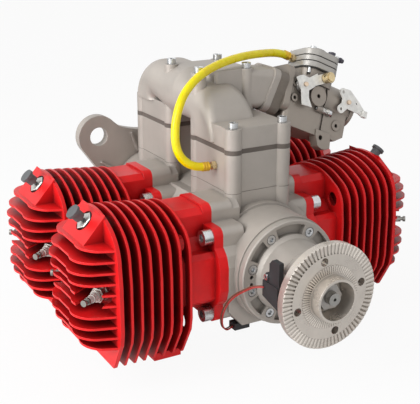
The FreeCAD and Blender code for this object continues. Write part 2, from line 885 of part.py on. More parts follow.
def make_cylinder():
    """Right-hand cylinder with its head cast in one piece."""
    c = core_half
    k = core_corner
    first_fin = fin_first - fin_thickness / 2
    roof = crown_out + squish_gap
    pieces = [prism("YZ", seat_x, base_flange, *flange_steps())]
    pieces.append(prism("YZ", seat_x, head_x - seat_x, (-c + k, -c), (c - k, -c), (c, -c + k),
                        (c, c - k), (c - k, c), (-c + k, c), (-c, c - k), (-c, -c + k)))
    pieces.append(rod(bore_radius + liner_wall, (seat_x - skirt_reach, 0, 0), (seat_x + 1, 0, 0)))
    d = duct_half
    pieces.append(prism("YZ", seat_x, first_fin - seat_x + 1,
                        (-d, 0), (d, 0), (d, duct_top - 6), (d - 6, duct_top),
                        (-d + 6, duct_top), (-d, duct_top - 6)))
    s = side_duct
    h = side_duct_half
    pieces.append(prism("YZ", seat_x, fin_first + fin_pitch - seat_x,
                        (-s + 5, -h), (s - 5, -h), (s, -h + 5), (s, h - 5), (s - 5, h),
                        (-s + 5, h), (-s, h - 5), (-s, -h + 5)))
    for index in range(fin_count - 1):
        x = fin_first + index * fin_pitch
        pieces.append(fin_outline(x, fin_thickness, fin_top + index * fin_top_rise))
    top = fin_top + (fin_count - 1) * fin_top_rise
    pieces.append(fin_outline(head_x, head_plate, top))

    for level in range(leaf_pairs):
        reach = leaf_reach + (6.0, 8.0, 9.0, 6.0, 0.0)[level]
        for sign in (-1, 1):
            pieces.append(leaf_outline(sign * (level + 0.5) * leaf_pitch, reach))
    leaf_z = (leaf_pairs - 0.5) * leaf_pitch
    hood = prism("XZ", -head_hood_half, 2 * head_hood_half,
                 (head_x, leaf_z - 1), (head_x + leaf_reach - 4, leaf_z - 1),
                 (head_x + leaf_reach - 4, leaf_z + 1), (head_x, top - 1))
    pieces.append(hood.common(leaf_slab()))

    ex = exhaust_from_seat + seat_x
    half_w = exhaust_width / 2 + 4
    pieces.append(block(ex - exhaust_height / 2 - 4, ex + exhaust_height / 2 + 4, -half_w, half_w,
                        -exhaust_drop, -c + 5))
    pieces.append(block(ex - exhaust_height / 2 - 4, ex + exhaust_height / 2 + 4,
                        -exhaust_bolt_half - 7, exhaust_bolt_half + 7,
                        -exhaust_drop, -exhaust_drop + exhaust_flange))
    for sign in (-1, 1):
        pieces.append(rod(10.5, plug_point(sign, plug_length + 20), plug_point(sign, plug_length)))
    pieces.append(rod(11, valve_point(valve_length + 14), valve_point(valve_length)))
    body = fuse(pieces)

    tools = [rod(bore_radius, (seat_x - skirt_reach - 1, 0, 0), (roof, 0, 0))]
    tools.append(Part.makeCone(bore_radius - 6, 12, dome_depth, V(roof - 0.5, 0, 0), V(1, 0, 0)))
    for sign in (-1, 1):
        y0, y1 = sorted((sign * 38.5, sign * 48.0))
        tools.append(block(seat_x - 1, crown_in + 10, y0, y1, -16, 16))
        w0, w1 = sorted((sign * 25.0, sign * 40.0))
        tools.append(block(crown_in, crown_in + 9, w0, w1, -14, 14))
        tools.append(rod(plug_pocket, plug_point(sign, plug_length), plug_point(sign, -12)))
        tools.append(rod(plug_thread_radius + fastener_gap,
                         plug_point(sign, plug_length + plug_thread_length + 1),
                         plug_point(sign, plug_length - 1)))
    tools.append(block(ex - exhaust_height / 2, ex + exhaust_height / 2,
                       -exhaust_width / 2, exhaust_width / 2, -exhaust_drop - 1, -20))
    for y in (-exhaust_bolt_half, exhaust_bolt_half):
        tools.append(rod(2.5, (ex, y, -exhaust_drop - 1), (ex, y, -exhaust_drop + 12)))
    tools.append(rod(valve_thread_radius + fastener_gap,
                     valve_point(valve_length + valve_thread_length + 1), valve_point(valve_length - 1)))
    tools.append(rod(valve_hex * 0.62, valve_point(valve_length), valve_point(-5)))
    for y, z in bolt_places():
        tools.append(rod(bolt_radius + fastener_gap, (seat_x - 1, y, z), (flange_out + 1, y, z)))
        tools.append(rod(bolt_head_radius, (first_fin - 1, y, z), (first_fin + fin_thickness + 1, y, z)))
    return cut(body, tools)


def leaf_slab():
    """Tall slab of the top leaf's outline, which trims the hood."""
    leaf = leaf_outline(0, leaf_reach)
    face = max(leaf.Faces, key=lambda item: item.Area)
    return Part.Face(face.OuterWire).extrude(V(0, 0, 120))


def make_cylinder_bolts():
    """Base bolts of all four cylinders."""
    bolts = []
    for y, z in bolt_places():
        bolt = socket_screw(bolt_radius - fastener_gap, bolt_head_radius, bolt_head_height,
                            (flange_out, y, z), (seat_x - bolt_grip, y, z))
        bolts += at_every_cylinder(bolt)
    return bolts


# Spark plugs and decompression valves

def make_plugs():
    """Shells, insulators and terminals of the eight spark plugs."""
    shells, insulators, terminals = [], [], []
    for sign in (-1, 1):
        def at(distance):
            return plug_point(sign, distance)
        seat = plug_length
        shell = fuse([
            rod(plug_thread_radius, at(seat + plug_thread_length), at(seat - 1)),
            rod(8.0, at(seat), at(seat - 3)),
            hexagon(plug_hex, at(seat - 3), at(seat - 10)),
            rod(6.0, at(seat - 10), at(seat - 13)),
        ])
        shell = cut(shell, [rod(4.5, at(seat - 4), at(seat - 14))])
        insulator = fuse([
            rod(4.5, at(seat - 4), at(seat - 16)),
            rod(3.6, at(seat - 16), at(8)),
            rod(4.3, at(15), at(13)),
        ])
        insulator = cut(insulator, [rod(1.5, at(20), at(7))])
        terminal = fuse([
            rod(1.5, at(18), at(8)),
            rod(3.4, at(8), at(5.5)),
            rod(2.0, at(5.5), at(2.5)),
            rod(3.2, at(2.5), at(0)),
        ])
        shells += at_every_cylinder(shell)
        insulators += at_every_cylinder(insulator)
        terminals += at_every_cylinder(terminal)
    return shells, insulators, terminals


def make_valve_body():
    """Decompression valve body with its hexagon."""
    seat = valve_length
    body = fuse([
        rod(valve_thread_radius, valve_point(seat + valve_thread_length), valve_point(seat - 1)),
        rod(9.4, valve_point(seat), valve_point(seat - 2)),
        hexagon(valve_hex, valve_point(seat - 2), valve_point(seat - 8)),
        rod(valve_body_radius, valve_point(seat - 8), valve_point(seat - 16)),
    ])
    stem_hole = rod(button_stem + running_gap * 2, valve_point(seat - 4), valve_point(seat - 17))
    vent = rod(1.6, (valve_point(seat - 12)[0], -12, valve_point(seat - 12)[2]),
               (valve_point(seat - 12)[0], 12, valve_point(seat - 12)[2]))
    return cut(body, [stem_hole, vent])


def make_valve_button():
    """Decompression valve button with its stem."""
    top = valve_length - 16 - button_travel - 0.5
    button = fuse([
        rod(button_stem, valve_point(valve_length - 12), valve_point(top)),
        rod(button_radius - 1.8, valve_point(top), valve_point(button_height - 6.0)),
        rod(button_radius, valve_point(button_height - 6.0), valve_point(0)),
    ])
    return button


# Reed towers and intake

def make_reed_housing(y):
    """Middle storey of a tower, around the reed valve."""
    body = tower_body(y, neck_top, housing_top)
    return cut(body, tower_tools(y, neck_top, housing_top, tower_open_x, tower_open_y))


def tower_tools(y, z0, z1, open_x, open_y):
    """Opening and screw holes of one storey of a tower."""
    tools = [block(-open_x, open_x, y - open_y, y + open_y, z0 - 1, z1 + 1)]
    for x, dy in tower_corners():
        tools.append(rod(tower_screw_radius + fastener_gap, (x, y + dy, z0 - 1), (x, y + dy, z1 + 1)))
    return tools


def make_reed_plate(y):
    """Dark plate that clamps a reed valve."""
    body = tower_body(y, housing_top, plate_top)
    return cut(body, tower_tools(y, housing_top, plate_top, reed_half_x - 4, reed_half_y - 4))


def make_reed_valves():
    """Wedge-shaped reed cages with their petals, hanging in the housings."""
    valves = []
    for y in (tower_front_y, tower_rear_y):
        top = housing_top
        low = top - reed_drop
        wedge = prism("XZ", y - reed_half_y, 2 * reed_half_y, (-reed_half_x, top), (-2, low), (2, low),
                      (reed_half_x, top))
        hollow = prism("XZ", y - reed_half_y + 3, 2 * reed_half_y - 6, (-reed_half_x + 4, top + 1),
                       (-1, low + 6), (1, low + 6), (reed_half_x - 4, top + 1))
        valves.append(cut(wedge, [hollow]))
    return valves


def inner_columns():
    """Places of the four long screws, next to the plenum."""
    return [(x, y) for x in (-tower_bolt_x, tower_bolt_x)
            for y in (tower_front_y + tower_bolt_y, tower_rear_y - tower_bolt_y)]


def outer_columns():
    """Places of the four short screws, at the ends of the engine."""
    return [(x, y) for x in (-tower_bolt_x, tower_bolt_x)
            for y in (tower_front_y - tower_bolt_y, tower_rear_y + tower_bolt_y)]


def section(centre, up, half_u, half_w, corner):
    """Wire of a rounded rectangle across X, in the plane of X and the given direction."""
    flat = outline("XY", 0, *rounded(half_u, half_w, corner)).OuterWire
    across = V(1, 0, 0)
    flat.Placement = FreeCAD.Placement(centre, FreeCAD.Rotation(across, up, across.cross(up), "XYZ"))
    return flat


def radial_section(axis_y, axis_z, side, angle, x, half, r0, r1, corner):
    """Section of a bend: a radial plane turned from the log's end towards the flange."""
    turn = math.radians(angle)
    up = V(0, side * math.sin(turn), math.cos(turn))
    centre = V(x, axis_y, axis_z) + up * ((r0 + r1) / 2)
    return section(centre, up, half, (r1 - r0) / 2, corner)


def log_shape(wall):
    """Log with its hood and rear bend, made smaller all round by a wall."""
    def bend(axis_y, axis_z, side, angle, x, half, r0, r1, corner):
        return radial_section(axis_y, axis_z, side, angle, x, half - wall, r0 + wall, r1 - wall,
                              max(corner - wall, 2))

    hood = []
    for angle, corner in ((90, 4), (67, 8), (45, 13), (22, 18), (0, 21)):
        grow = (90 - angle) / 60
        hood.append(bend(hood_axis_y, hood_axis_z, -1, angle, hood_x, hood_half + grow,
                         hood_inside, hood_reach, corner))
    log = [bend(y, low, 1, 0, log_x, log_half, 0, plenum_top - low, corner)
           for y, low, corner in ((log_full_y, log_low, 26), (log_rise_y, log_low, 26),
                                  (bend_axis_y, bend_axis_z + 0.5, 23))]
    rear = [log[-1]]
    bend_reach = plenum_top - bend_axis_z
    for angle, corner in ((30, 21), (60, 17), (90, 12)):
        half = log_half - (log_half - bend_half) * angle / 90
        rear.append(bend(bend_axis_y, bend_axis_z, 1, angle, log_x, half, 0.5, bend_reach, corner))
    return [Part.makeLoft(hood, True, False),
            Part.makeLoft([hood[-1], log[0]], True, True),
            Part.makeLoft(log[:2], True, True),
            Part.makeLoft(log[1:], True, True),
            Part.makeLoft(rear, True, False)]


def make_manifold():
    """Log manifold: hood, log and rear bend, a plenum with four screw columns, carburettor flange."""
    length = plenum_y1 - plenum_y0
    middle_x = (plenum_x0 + plenum_x1) / 2
    half_x = (plenum_x1 - plenum_x0) / 2
    plenum = prism("XY", flange_top - 1, plenum_top - flange_top + 1,
                   *rounded(half_x, length / 2, 5, middle_x, plenum_y0 + length / 2))
    inlet_half = spacer_half - 2
    inner = outline("YZ", plenum_x1 - 6, *rounded(inlet_half - 2, (plenum_top - flange_top) / 2 - 1, 6,
                                                  carb_y, (plenum_top + flange_top) / 2)).OuterWire
    plate_a = -carb_face - spacer_length - manifold_plate
    outer = pitched(outline("YZ", plate_a, *rounded(inlet_half, inlet_half, spacer_corner,
                                                    0, spacer_n))).OuterWire
    plate = pitched(prism("YZ", plate_a, manifold_plate,
                          *rounded(spacer_half, spacer_half, spacer_corner, 0, spacer_n)))
    pieces = [
        tower_body(tower_front_y, plate_top, flange_top),
        tower_body(tower_rear_y, plate_top, flange_top),
        plenum,
        Part.makeLoft([inner, outer], True, False),
        plate,
    ]
    pieces += log_shape(0)
    for x, y in inner_columns():
        pieces.append(rod(plenum_column, (x, y, flange_top - 1), (x, y, plenum_top)))
    body = fuse(pieces)

    gap = tower_screw_radius + fastener_gap
    wall = log_wall
    chamber = block(log_x, plenum_x1 - wall, plenum_y0 + wall, plenum_y1 - wall,
                    flange_top + wall + 6, plenum_top - wall)
    bosses = [rod(gap + 4.5, (x, y, 0), (x, y, plenum_top + 1)) for x, y in inner_columns()]
    centre_z = (log_low + plenum_top) / 2
    tools = [fuse(log_shape(wall)).cut(bosses), chamber.cut(bosses),
             rod(intake_bore, (log_x, carb_y, centre_z), (carb_x, carb_y, centre_z))]
    for y, sign in ((tower_front_y, -1), (tower_rear_y, 1)):
        y0, y1 = sorted((y + sign * 2, y - sign * (reed_half_y - 8)))
        tools.append(block(log_x - 8, log_x + 24, y0, y1, plate_top - 1, flange_top - 8))
    for x, y in inner_columns():
        tools.append(rod(gap, (x, y, plate_top - 1), (x, y, plenum_top + 1)))
    for x, y in outer_columns():
        tools.append(rod(gap, (x, y, plate_top - 1), (x, y, flange_top + 1)))
        tools.append(rod(tower_screw_head + 1, (x, y, flange_top), (x, y, plenum_top + 5)))
    return cut(body, tools)


def make_tower_screws():
    """Short screws at the ends and long screws beside the plenum."""
    tip = neck_top - tower_screw_depth
    short = [socket_screw(tower_screw_radius, tower_screw_head, 6.0, (x, y, flange_top), (x, y, tip))
             for x, y in outer_columns()]
    long = [socket_screw(tower_screw_radius, tower_screw_head, 6.0, (x, y, plenum_top), (x, y, tip))
            for x, y in inner_columns()]
    return short, long


# Carburettor

def pitched(shape):
    """Shape from the intake's frame, which leans down to the side but isn't rolled."""
    copy = shape.copy()
    copy.rotate(ORIGIN, V(0, 1, 0), carb_pitch_angle)
    copy.translate(V(carb_x, carb_y, carb_z))
    return copy


def carb(shape):
    """Shape from the carburettor's own frame, where x is a, y is b and z is n."""
    copy = shape.copy()
    copy.rotate(ORIGIN, V(1, 0, 0), -carb_roll_angle)
    return pitched(copy)


def make_spacer():
    """Insulating block between the manifold and the carburettor."""
    a0 = -carb_face - spacer_length
    body = prism("YZ", a0, spacer_length, *rounded(spacer_half, spacer_half, spacer_corner, 0, spacer_n))
    radius = carb_bore - 1
    low = spacer_n - 1
    high = spacer_n + 9
    slot = [rod(radius, (a0 - 1, 0, n), (-carb_face + 1, 0, n)) for n in (low, high)]
    slot.append(block(a0 - 1, -carb_face + 1, -radius, radius, low, high))
    return pitched(cut(body, slot))


def make_carb_body():
    """Carburettor casting."""
    b = carb_half_b
    face = -carb_face
    end = choke_distance + 14
    near = -b
    pieces = [
        prism("YZ", face, mount_plate_length, *rounded(b + 3, 26, 8, 0, -8)),
        prism("XY", -carb_floor, carb_floor + 12, *rounded(29, b, 7, 13, 0)),
        prism("XZ", near, 2 * b, (40, -44), (62, -48), (74, -40), (74, 6), (40, 6)),
        rod(22, (38, 0, -3), (end, 0, -3)),
        rod(23.5, (end - 5, 0, -3), (end, 0, -3)),
        prism("XY", 8, carb_deck - 8, *rounded(stack_half - 1.5, stack_half - 3, stack_corner,
                                               stack_centre, 0)),
        rod(7, (0, -lever_plane + 2.5, 0), (0, lever_plane - 3, 0)),
        rod(7, (choke_distance, -lever_plane + 2.5, 0), (choke_distance, lever_plane - 3, 0)),
        rod(11.5, (24, -lever_plane + 1, -6), (24, near + 2, -6)),
        prism("XZ", near - 2, 12, (32, -42), (54, -42), (56, -58), ((48, -62), (38, -60)), (33, -50)),
        rod(3.8, (26, -idle_b, idle_n), (34, -idle_b, idle_n)),
        rod(6, (60, near - 1.5, -30), (60, near + 4, -30)),
    ]
    for a, n in ((-9, 0), (-7, -17)):
        pieces.append(rod(4.6, (a, near - 2, n), (a, near + 6, n)))
    body = fuse(pieces)
    tools = [
        rod(carb_bore, (face - 1, 0, 0), (end - 8, 0, 0)),
        Part.makeCone(carb_bore, carb_bore + 6, 9, V(end - 8.5, 0, 0), V(1, 0, 0)),
        rod(shaft_radius + running_gap, (0, -lever_plane - 1, 0), (0, lever_plane + 1, 0)),
        rod(shaft_radius + running_gap, (choke_distance, -lever_plane - 1, 0),
            (choke_distance, lever_plane + 1, 0)),
        rod(2.4, (24, -lever_plane, -6), (24, near + 6, -6)),
        rod(2.8, (40, near - 3, -50), (40, near + 8, -50)),
        rod(1.8 + fastener_gap, (25, -idle_b, idle_n), (35, -idle_b, idle_n)),
        rod(2.2, (60, near - 3, -30), (60, near + 3, -30)),
        rod(3.6, (34, -idle_b, idle_n), (52, -idle_b, idle_n)),
    ]
    tools += [rod(2.0 + fastener_gap, (sa, sb, carb_deck - 9), (sa, sb, carb_deck + 1))
              for sa, sb in stack_screws_places()]
    for a, n in ((-9, 0), (-7, -17)):
        tools.append(rod(2.1, (a, near - 3, n), (a, near + 4, n)))
    return carb(cut(body, tools))


def stack_levels():
    """Lower face of each plate of the pump stack."""
    levels = []
    n = carb_deck + stack_gasket
    for thickness in stack_plates:
        levels.append((n, thickness))
        n += thickness + stack_gasket
    return levels


def stack_screws_places():
    """Places of the screws through the pump stack."""
    reach = stack_half - 7
    return [(stack_centre + sa * reach, sb * reach) for sa in (-1, 1) for sb in (-1, 1)]


def make_stack():
    """Plates, gaskets and screws of the pump stack."""
    plates, gaskets, screws = [], [], []
    shape = rounded(stack_half, stack_half, stack_corner, stack_centre, 0)
    holes = [rod(2.1, (a, b, carb_deck - 20), (a, b, 80)) for a, b in stack_screws_places()]
    for n, thickness in stack_levels():
        gaskets.append(carb(cut(prism("XY", n - stack_gasket, stack_gasket,
                                      *rounded(stack_half - 0.6, stack_half - 0.6, stack_corner,
                                               stack_centre, 0)), holes)))
        plates.append(carb(cut(prism("XY", n, thickness, *shape), holes)))
    top = stack_levels()[-1][0] + stack_levels()[-1][1]
    dome = Part.makeCone(15, 13, 6.0, V(stack_centre, 0, top - 0.01), V(0, 0, 1))
    plates[-1] = plates[-1].fuse(carb(dome)).removeSplitter()
    for a, b in stack_screws_places():
        screws.append(carb(socket_screw(2.0, 3.6, 2.6, (a, b, top), (a, b, carb_deck - 0.2 - 6))))
    return plates, gaskets, screws


def link(start, end, radius, b0, b1):
    """Flat lever arm with round ends between two (a, n) points."""
    (a0, n0), (a1, n1) = start, end
    length = math.hypot(a1 - a0, n1 - n0)
    pieces = [rod(radius, (a0, b0, n0), (a0, b1, n0)), rod(radius, (a1, b0, n1), (a1, b1, n1))]
    ua, un = (a1 - a0) / length * radius, (n1 - n0) / length * radius
    pieces.append(prism("XZ", b0, b1 - b0, (a0 - un, n0 + ua), (a0 + un, n0 - ua),
                        (a1 + un, n1 - ua), (a1 - un, n1 + ua)))
    return fuse(pieces)


def lever(shapes, holes, pivot):
    """Lever plate clamped on a shaft."""
    b0 = -lever_plane - lever_thickness
    b1 = -lever_plane
    tools = [rod(radius, (a, b0 - 1, n), (a, b1 + 1, n)) for (a, n), radius in holes]
    tools.append(rod(shaft_radius - 1, (pivot[0], b0 - 1, pivot[1]), (pivot[0], b1 + 1, pivot[1])))
    return cut(fuse(shapes), tools)


def make_throttle():
    """Throttle shaft, lever and butterfly."""
    reach = lever_plane
    shaft = fuse([
        rod(shaft_radius, (0, -reach, 0), (0, reach - 1, 0)),
        rod(shaft_radius - 1, (0, -reach - 4, 0), (0, -reach + 1, 0)),
    ])
    slot = block(-butterfly_thickness / 2, butterfly_thickness / 2, -carb_bore, carb_bore,
                 -shaft_radius - 1, shaft_radius + 1)
    shaft = cut(shaft, [slot])
    plate = rod(carb_bore - 0.3, (-butterfly_thickness / 2, 0, 0), (butterfly_thickness / 2, 0, 0))
    b0 = -lever_plane - lever_thickness
    quadrant = prism("XZ", b0, lever_thickness, (-13.6, 4.4), (-9, 7.7), (-5, 9.6), (4, 9), (14.4, 17.4),
                     (17, 9), (13.8, 1.5), (6.5, -5.3), (8.4, -13.3), (15, -22.3), (1, -23.4), (-4, -7.8))
    arm = link((9, 6), (swivel_a, swivel_n), 5.5, b0, -lever_plane)
    plate_lever = lever([quadrant, arm], [((swivel_a, swivel_n), 2.6)], (0, 0))
    return carb(shaft), carb(plate_lever), carb(plate)


def make_choke():
    """Choke shaft, lever and butterfly."""
    d = choke_distance
    reach = lever_plane
    shaft = fuse([
        rod(shaft_radius, (d, -reach, 0), (d, reach - 1, 0)),
        rod(shaft_radius - 1, (d, -reach - 4, 0), (d, -reach + 1, 0)),
    ])
    half = butterfly_thickness / 2
    slot = block(d - shaft_radius - 1, d + shaft_radius + 1, -carb_bore, carb_bore, -half, half)
    shaft = cut(shaft, [slot])
    plate = rod(carb_bore - 0.3, (d, 0, -half), (d, 0, half))
    b0 = -lever_plane - lever_thickness
    broad = prism("XZ", b0, lever_thickness, (d - 10, 14), (d, 14.7), (d + 16, 5.4), (d + 29, -4),
                  (d + 24, -10), (d + 17, -8), (d + 2, -8), (d - 9, -5))
    tab = block(d + 23, d + 29, b0 - 3, b0 + lever_thickness, -10.5, -3)
    arms = [link((d, 0), (d - 10, 9.5), 4.6, b0, -lever_plane),
            link((d, 0), (d - 9, -10.5), 5.0, b0, -lever_plane)]
    holes = [((d - 10, 9.5), 1.8), ((d - 9, -10.5), 1.7), ((d + 12, 2), 1.2)]
    return carb(shaft), carb(lever([broad, tab] + arms, holes, (d, 0))), carb(plate)


def make_swivel():
    """Brass cable swivel on the throttle lever."""
    a = swivel_a
    n = swivel_n
    b0 = -lever_plane - lever_thickness
    swivel = fuse([
        rod(2.5, (a, b0 - 2, n), (a, b0 + lever_thickness + 0.3, n)),
        rod(6.0, (a, b0 - 9, n), (a, b0 - 0.2, n)),
        rod(4.6, (a, b0 - 10.5, n), (a, b0 - 9, n)),
    ])
    return carb(cut(swivel, [rod(1.2, (a - 8, b0 - 5, n), (a + 8, b0 - 5, n))]))


def make_idle_screw():
    """Idle stop screw and its spring."""
    boss_end = 34.0
    screw = fuse([
        rod(1.8, (boss_end - 8, -idle_b, idle_n), (boss_end + 12, -idle_b, idle_n)),
        rod(3.2, (boss_end + 10, -idle_b, idle_n), (boss_end + 14, -idle_b, idle_n)),
    ])
    spring = tube(2.9, 2.1, (boss_end + 0.3, -idle_b, idle_n), (boss_end + 9.8, -idle_b, idle_n))
    return [carb(screw), carb(spring)]


def make_fuel_nipple():
    """Dark fuel inlet elbow on the pump stack."""
    n, thickness = stack_levels()[-1]
    top = n + thickness
    a = stack_centre + stack_half - 5.8
    return carb(fuse([
        rod(4.5, (a, -8, top), (a, -8, top + 9)),
        rod(2.6, (a, -8, top + 5), (a + 18, -8, top + 5)),
        rod(3.3, (a + 13, -8, top + 5), (a + 15, -8, top + 5)),
    ]))


# Impulse hose, speed sensor and leads

def route(points, name):
    """Wire of straight runs joined by tangent arcs, each as large as its runs allow."""
    corners = [V(*point) for point in points]
    edges, radii = [], []
    here = corners[0]
    for before, corner, after in zip(corners, corners[1:], corners[2:]):
        back = (before - corner).normalize()
        ahead = (after - corner).normalize()
        shorter = min((before - corner).Length, (after - corner).Length)
        turn = math.pi - back.getAngle(ahead)
        reach = 0.45 * shorter
        radius = reach / math.tan(turn / 2)
        start = corner + back * reach
        end = corner + ahead * reach
        inward = (back + ahead).normalize()
        middle = corner + inward * (radius / math.cos(turn / 2) - radius)
        edges.append(Part.LineSegment(here, start).toShape())
        edges.append(Part.Arc(start, middle, end).toShape())
        radii.append(round(radius, 1))
        here = end
    edges.append(Part.LineSegment(here, corners[-1]).toShape())
    wire = Part.Wire(edges)
    print(name, "length", round(wire.Length, 1), "radii", radii)
    return wire


def swept(wire, radius):
    """Round bar along a wire."""
    first = wire.Edges[0]
    start = first.valueAt(first.FirstParameter)
    tangent = first.tangentAt(first.FirstParameter)
    circle = Part.Wire(Part.makeCircle(radius, start, tangent))
    return wire.makePipeShell([circle], True, False)


def hose_fitting_point(distance):
    """Point on the axis of the hose fitting on the pump stack."""
    a = stack_centre - stack_half - distance
    n = stack_levels()[1][0] + stack_plates[1] / 2
    point = Part.Vertex(a, hose_fitting_b, n)
    moved_point = carb(point).Point
    return (moved_point.x, moved_point.y, moved_point.z)


def tower_fitting_point(distance):
    """Point on the axis of the hose fitting on the front tower."""
    return (-tower_half_x - distance, tower_fitting_y, tower_fitting_z)


def make_hose_fittings():
    """Brass hose barbs on the front tower and on the pump stack."""
    fittings = []
    for at in (hose_fitting_point, tower_fitting_point):
        fitting = fuse([
            rod(2.6, at(0), at(4)),
            hexagon(8.0, at(0), at(5)),
            rod(hose_bore - running_gap, at(4), at(fitting_reach + 6)),
        ])
        fittings.append(cut(fitting, [rod(1.3, at(1), at(fitting_reach + 7))]))
    return fittings


def make_hose():
    """Impulse hose between the front tower and the pump stack."""
    points = [tower_fitting_point(fitting_reach), tower_fitting_point(fitting_reach + hose_straight)]
    points += HOSE_POINTS
    points += [hose_fitting_point(fitting_reach + hose_straight), hose_fitting_point(fitting_reach)]
    wire = route(points, "impulse hose")
    return swept(wire, hose_radius).cut(swept(wire, hose_bore))


def make_sensor():
    """Speed sensor: a slanted block, an arm beside the hub and a lug for its screw."""
    outer = -sensor_face - sensor_depth
    front = sensor_front
    rear = sensor_rear
    y = sensor_screw_y
    z = sensor_screw_z
    body = fuse([
        prism("YZ", outer, sensor_depth, (front, -12.5), (rear, -6.5), (rear, 10), (front, 10)),
        prism("YZ", outer + 1, sensor_depth - 1, (front - 1, 8), (front + 16, 8), (front + 16, 30),
              (front + 11, 35), (front - 1, 35)),
        block(outer + 1.5, -sensor_face, y - 4.5, y + 4.5, 8, z),
        rod(4.5, (outer + 1.5, y, z), (-sensor_face, y, z)),
    ])
    hole = rod(sensor_screw_radius + fastener_gap, (outer, y, z), (-sensor_face + 1, y, z))
    return cut(body, [hole])


def make_sensor_screw():
    """Screw of the speed sensor."""
    seat = -sensor_face - sensor_depth + 1.5
    return socket_screw(sensor_screw_radius, sensor_screw_head, 2.6,
                        (seat, sensor_screw_y, sensor_screw_z),
                        (seat + sensor_screw_length, sensor_screw_y, sensor_screw_z))


def make_leads():
    """Two thin leads from the sensor to the connector under the crankcase."""
    leads = []
    for offset in (-lead_spacing / 2, lead_spacing / 2):
        points = [(x, y + offset, z) for x, y, z in LEAD_POINTS]
        leads.append(swept(route(points, "sensor lead"), lead_radius))
    return leads


def make_lead_connector():
    """Connector clipped under the crankcase."""
    x, y, _ = LEAD_POINTS[-1]
    top = -max(case_floor, case_radius)
    half = connector_width / 2
    return block(x + 0.4, x + connector_length, y - half, y + half, top - connector_height, top)


def main():
    """Build every sub-part and write it."""
    os.makedirs("parts", exist_ok=True)
    save("crankcase", make_crankcase())
    save("front_bearing_cover", make_front_cover())
    save("rear_mounting_cover", make_rear_cover())
    save("cover_screws", make_cover_screws())
    save("centre_bearing_carrier", make_carrier())
    outer, rollers, inner = make_bearings()
    save("bearing_outer_rings", outer)
    save("bearing_rollers", rollers)
    save("bearing_inner_rings", inner)
    save("shaft_seal", make_seal())
    save("crankshaft", make_crankshaft())
    save("propeller_hub", make_hub())
    save("hub_nut_and_washer", make_hub_nut())
    cylinder = make_cylinder()
    for name, (side, y, out) in CYLINDERS.items():
        crown = piston_place(side, y, out)
        save("cylinder_" + name, for_bank(cylinder, side, y))
        save("piston_" + name, for_bank(make_piston(crown), side, y))
        save("pin_and_rings_" + name, [for_bank(s, side, y) for s in make_pin_and_rings(crown)])
        save("valve_button_" + name, for_bank(make_valve_button(), side, y))
    save("cylinder_bolts", make_cylinder_bolts())
    shells, insulators, terminals = make_plugs()
    save("spark_plug_shells", shells)
    save("spark_plug_insulators", insulators)
    save("spark_plug_terminals", terminals)
    save("decompression_valve_bodies", at_every_cylinder(make_valve_body()))
    save("reed_housing_front", make_reed_housing(tower_front_y))
    save("reed_housing_rear", make_reed_housing(tower_rear_y))
    save("reed_plates", [make_reed_plate(tower_front_y), make_reed_plate(tower_rear_y)])
    save("reed_valves", make_reed_valves())
    save("intake_manifold", make_manifold())
    short, long = make_tower_screws()
    save("short_tower_screws", short)
    save("long_tower_screws", long)
    save("carburettor_spacer", make_spacer())
    save("carburettor_body", make_carb_body())
    plates, gaskets, screws = make_stack()
    save("pump_plates", plates)
    save("pump_gaskets", gaskets)
    save("pump_screws", screws)
    shaft, plate_lever, butterfly = make_throttle()
    save("throttle_shaft", shaft)
    save("throttle_lever", plate_lever)
    save("throttle_butterfly", butterfly)
    shaft, plate_lever, butterfly = make_choke()
    save("choke_shaft", shaft)
    save("choke_lever", plate_lever)
    save("choke_butterfly", butterfly)
    save("cable_swivel", make_swivel())
    save("idle_screw", make_idle_screw())
    save("fuel_nipple", make_fuel_nipple())
    save("hose_fittings", make_hose_fittings())
    save("impulse_hose", make_hose())
    save("speed_sensor", make_sensor())
    save("sensor_screw", make_sensor_screw())
    save("sensor_leads", make_leads())
    save("lead_connector", make_lead_connector())


main()
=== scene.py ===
"""Looks of a flat four-cylinder two-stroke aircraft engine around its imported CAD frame.

Laid out as an add-on: the property groups hold sizes and colours, each operator dresses
one group of pieces, and main() runs them in order.
"""

import math

import bpy
import numpy as np
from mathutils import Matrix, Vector


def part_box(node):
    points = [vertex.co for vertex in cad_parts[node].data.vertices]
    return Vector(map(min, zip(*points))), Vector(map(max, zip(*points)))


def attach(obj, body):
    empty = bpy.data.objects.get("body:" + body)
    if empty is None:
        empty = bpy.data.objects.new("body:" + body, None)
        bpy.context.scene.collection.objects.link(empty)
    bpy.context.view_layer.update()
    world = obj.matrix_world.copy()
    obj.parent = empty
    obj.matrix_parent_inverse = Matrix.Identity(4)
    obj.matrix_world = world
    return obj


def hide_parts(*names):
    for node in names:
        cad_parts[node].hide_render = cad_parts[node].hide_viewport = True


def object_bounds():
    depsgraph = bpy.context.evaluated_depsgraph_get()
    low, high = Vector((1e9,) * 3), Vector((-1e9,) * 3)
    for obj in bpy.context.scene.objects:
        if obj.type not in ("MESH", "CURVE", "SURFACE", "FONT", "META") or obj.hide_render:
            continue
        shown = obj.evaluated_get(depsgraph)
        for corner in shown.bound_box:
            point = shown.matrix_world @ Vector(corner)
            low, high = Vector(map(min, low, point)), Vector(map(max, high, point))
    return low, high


bl_info = {
    "name": "Flat Aircraft Engine",
    "version": (1, 0, 0),
    "blender": (4, 5, 0),
    "location": "View3D > Sidebar > Engine",
    "description": "Dresses a flat two-stroke aircraft engine",
    "category": "Object",
}

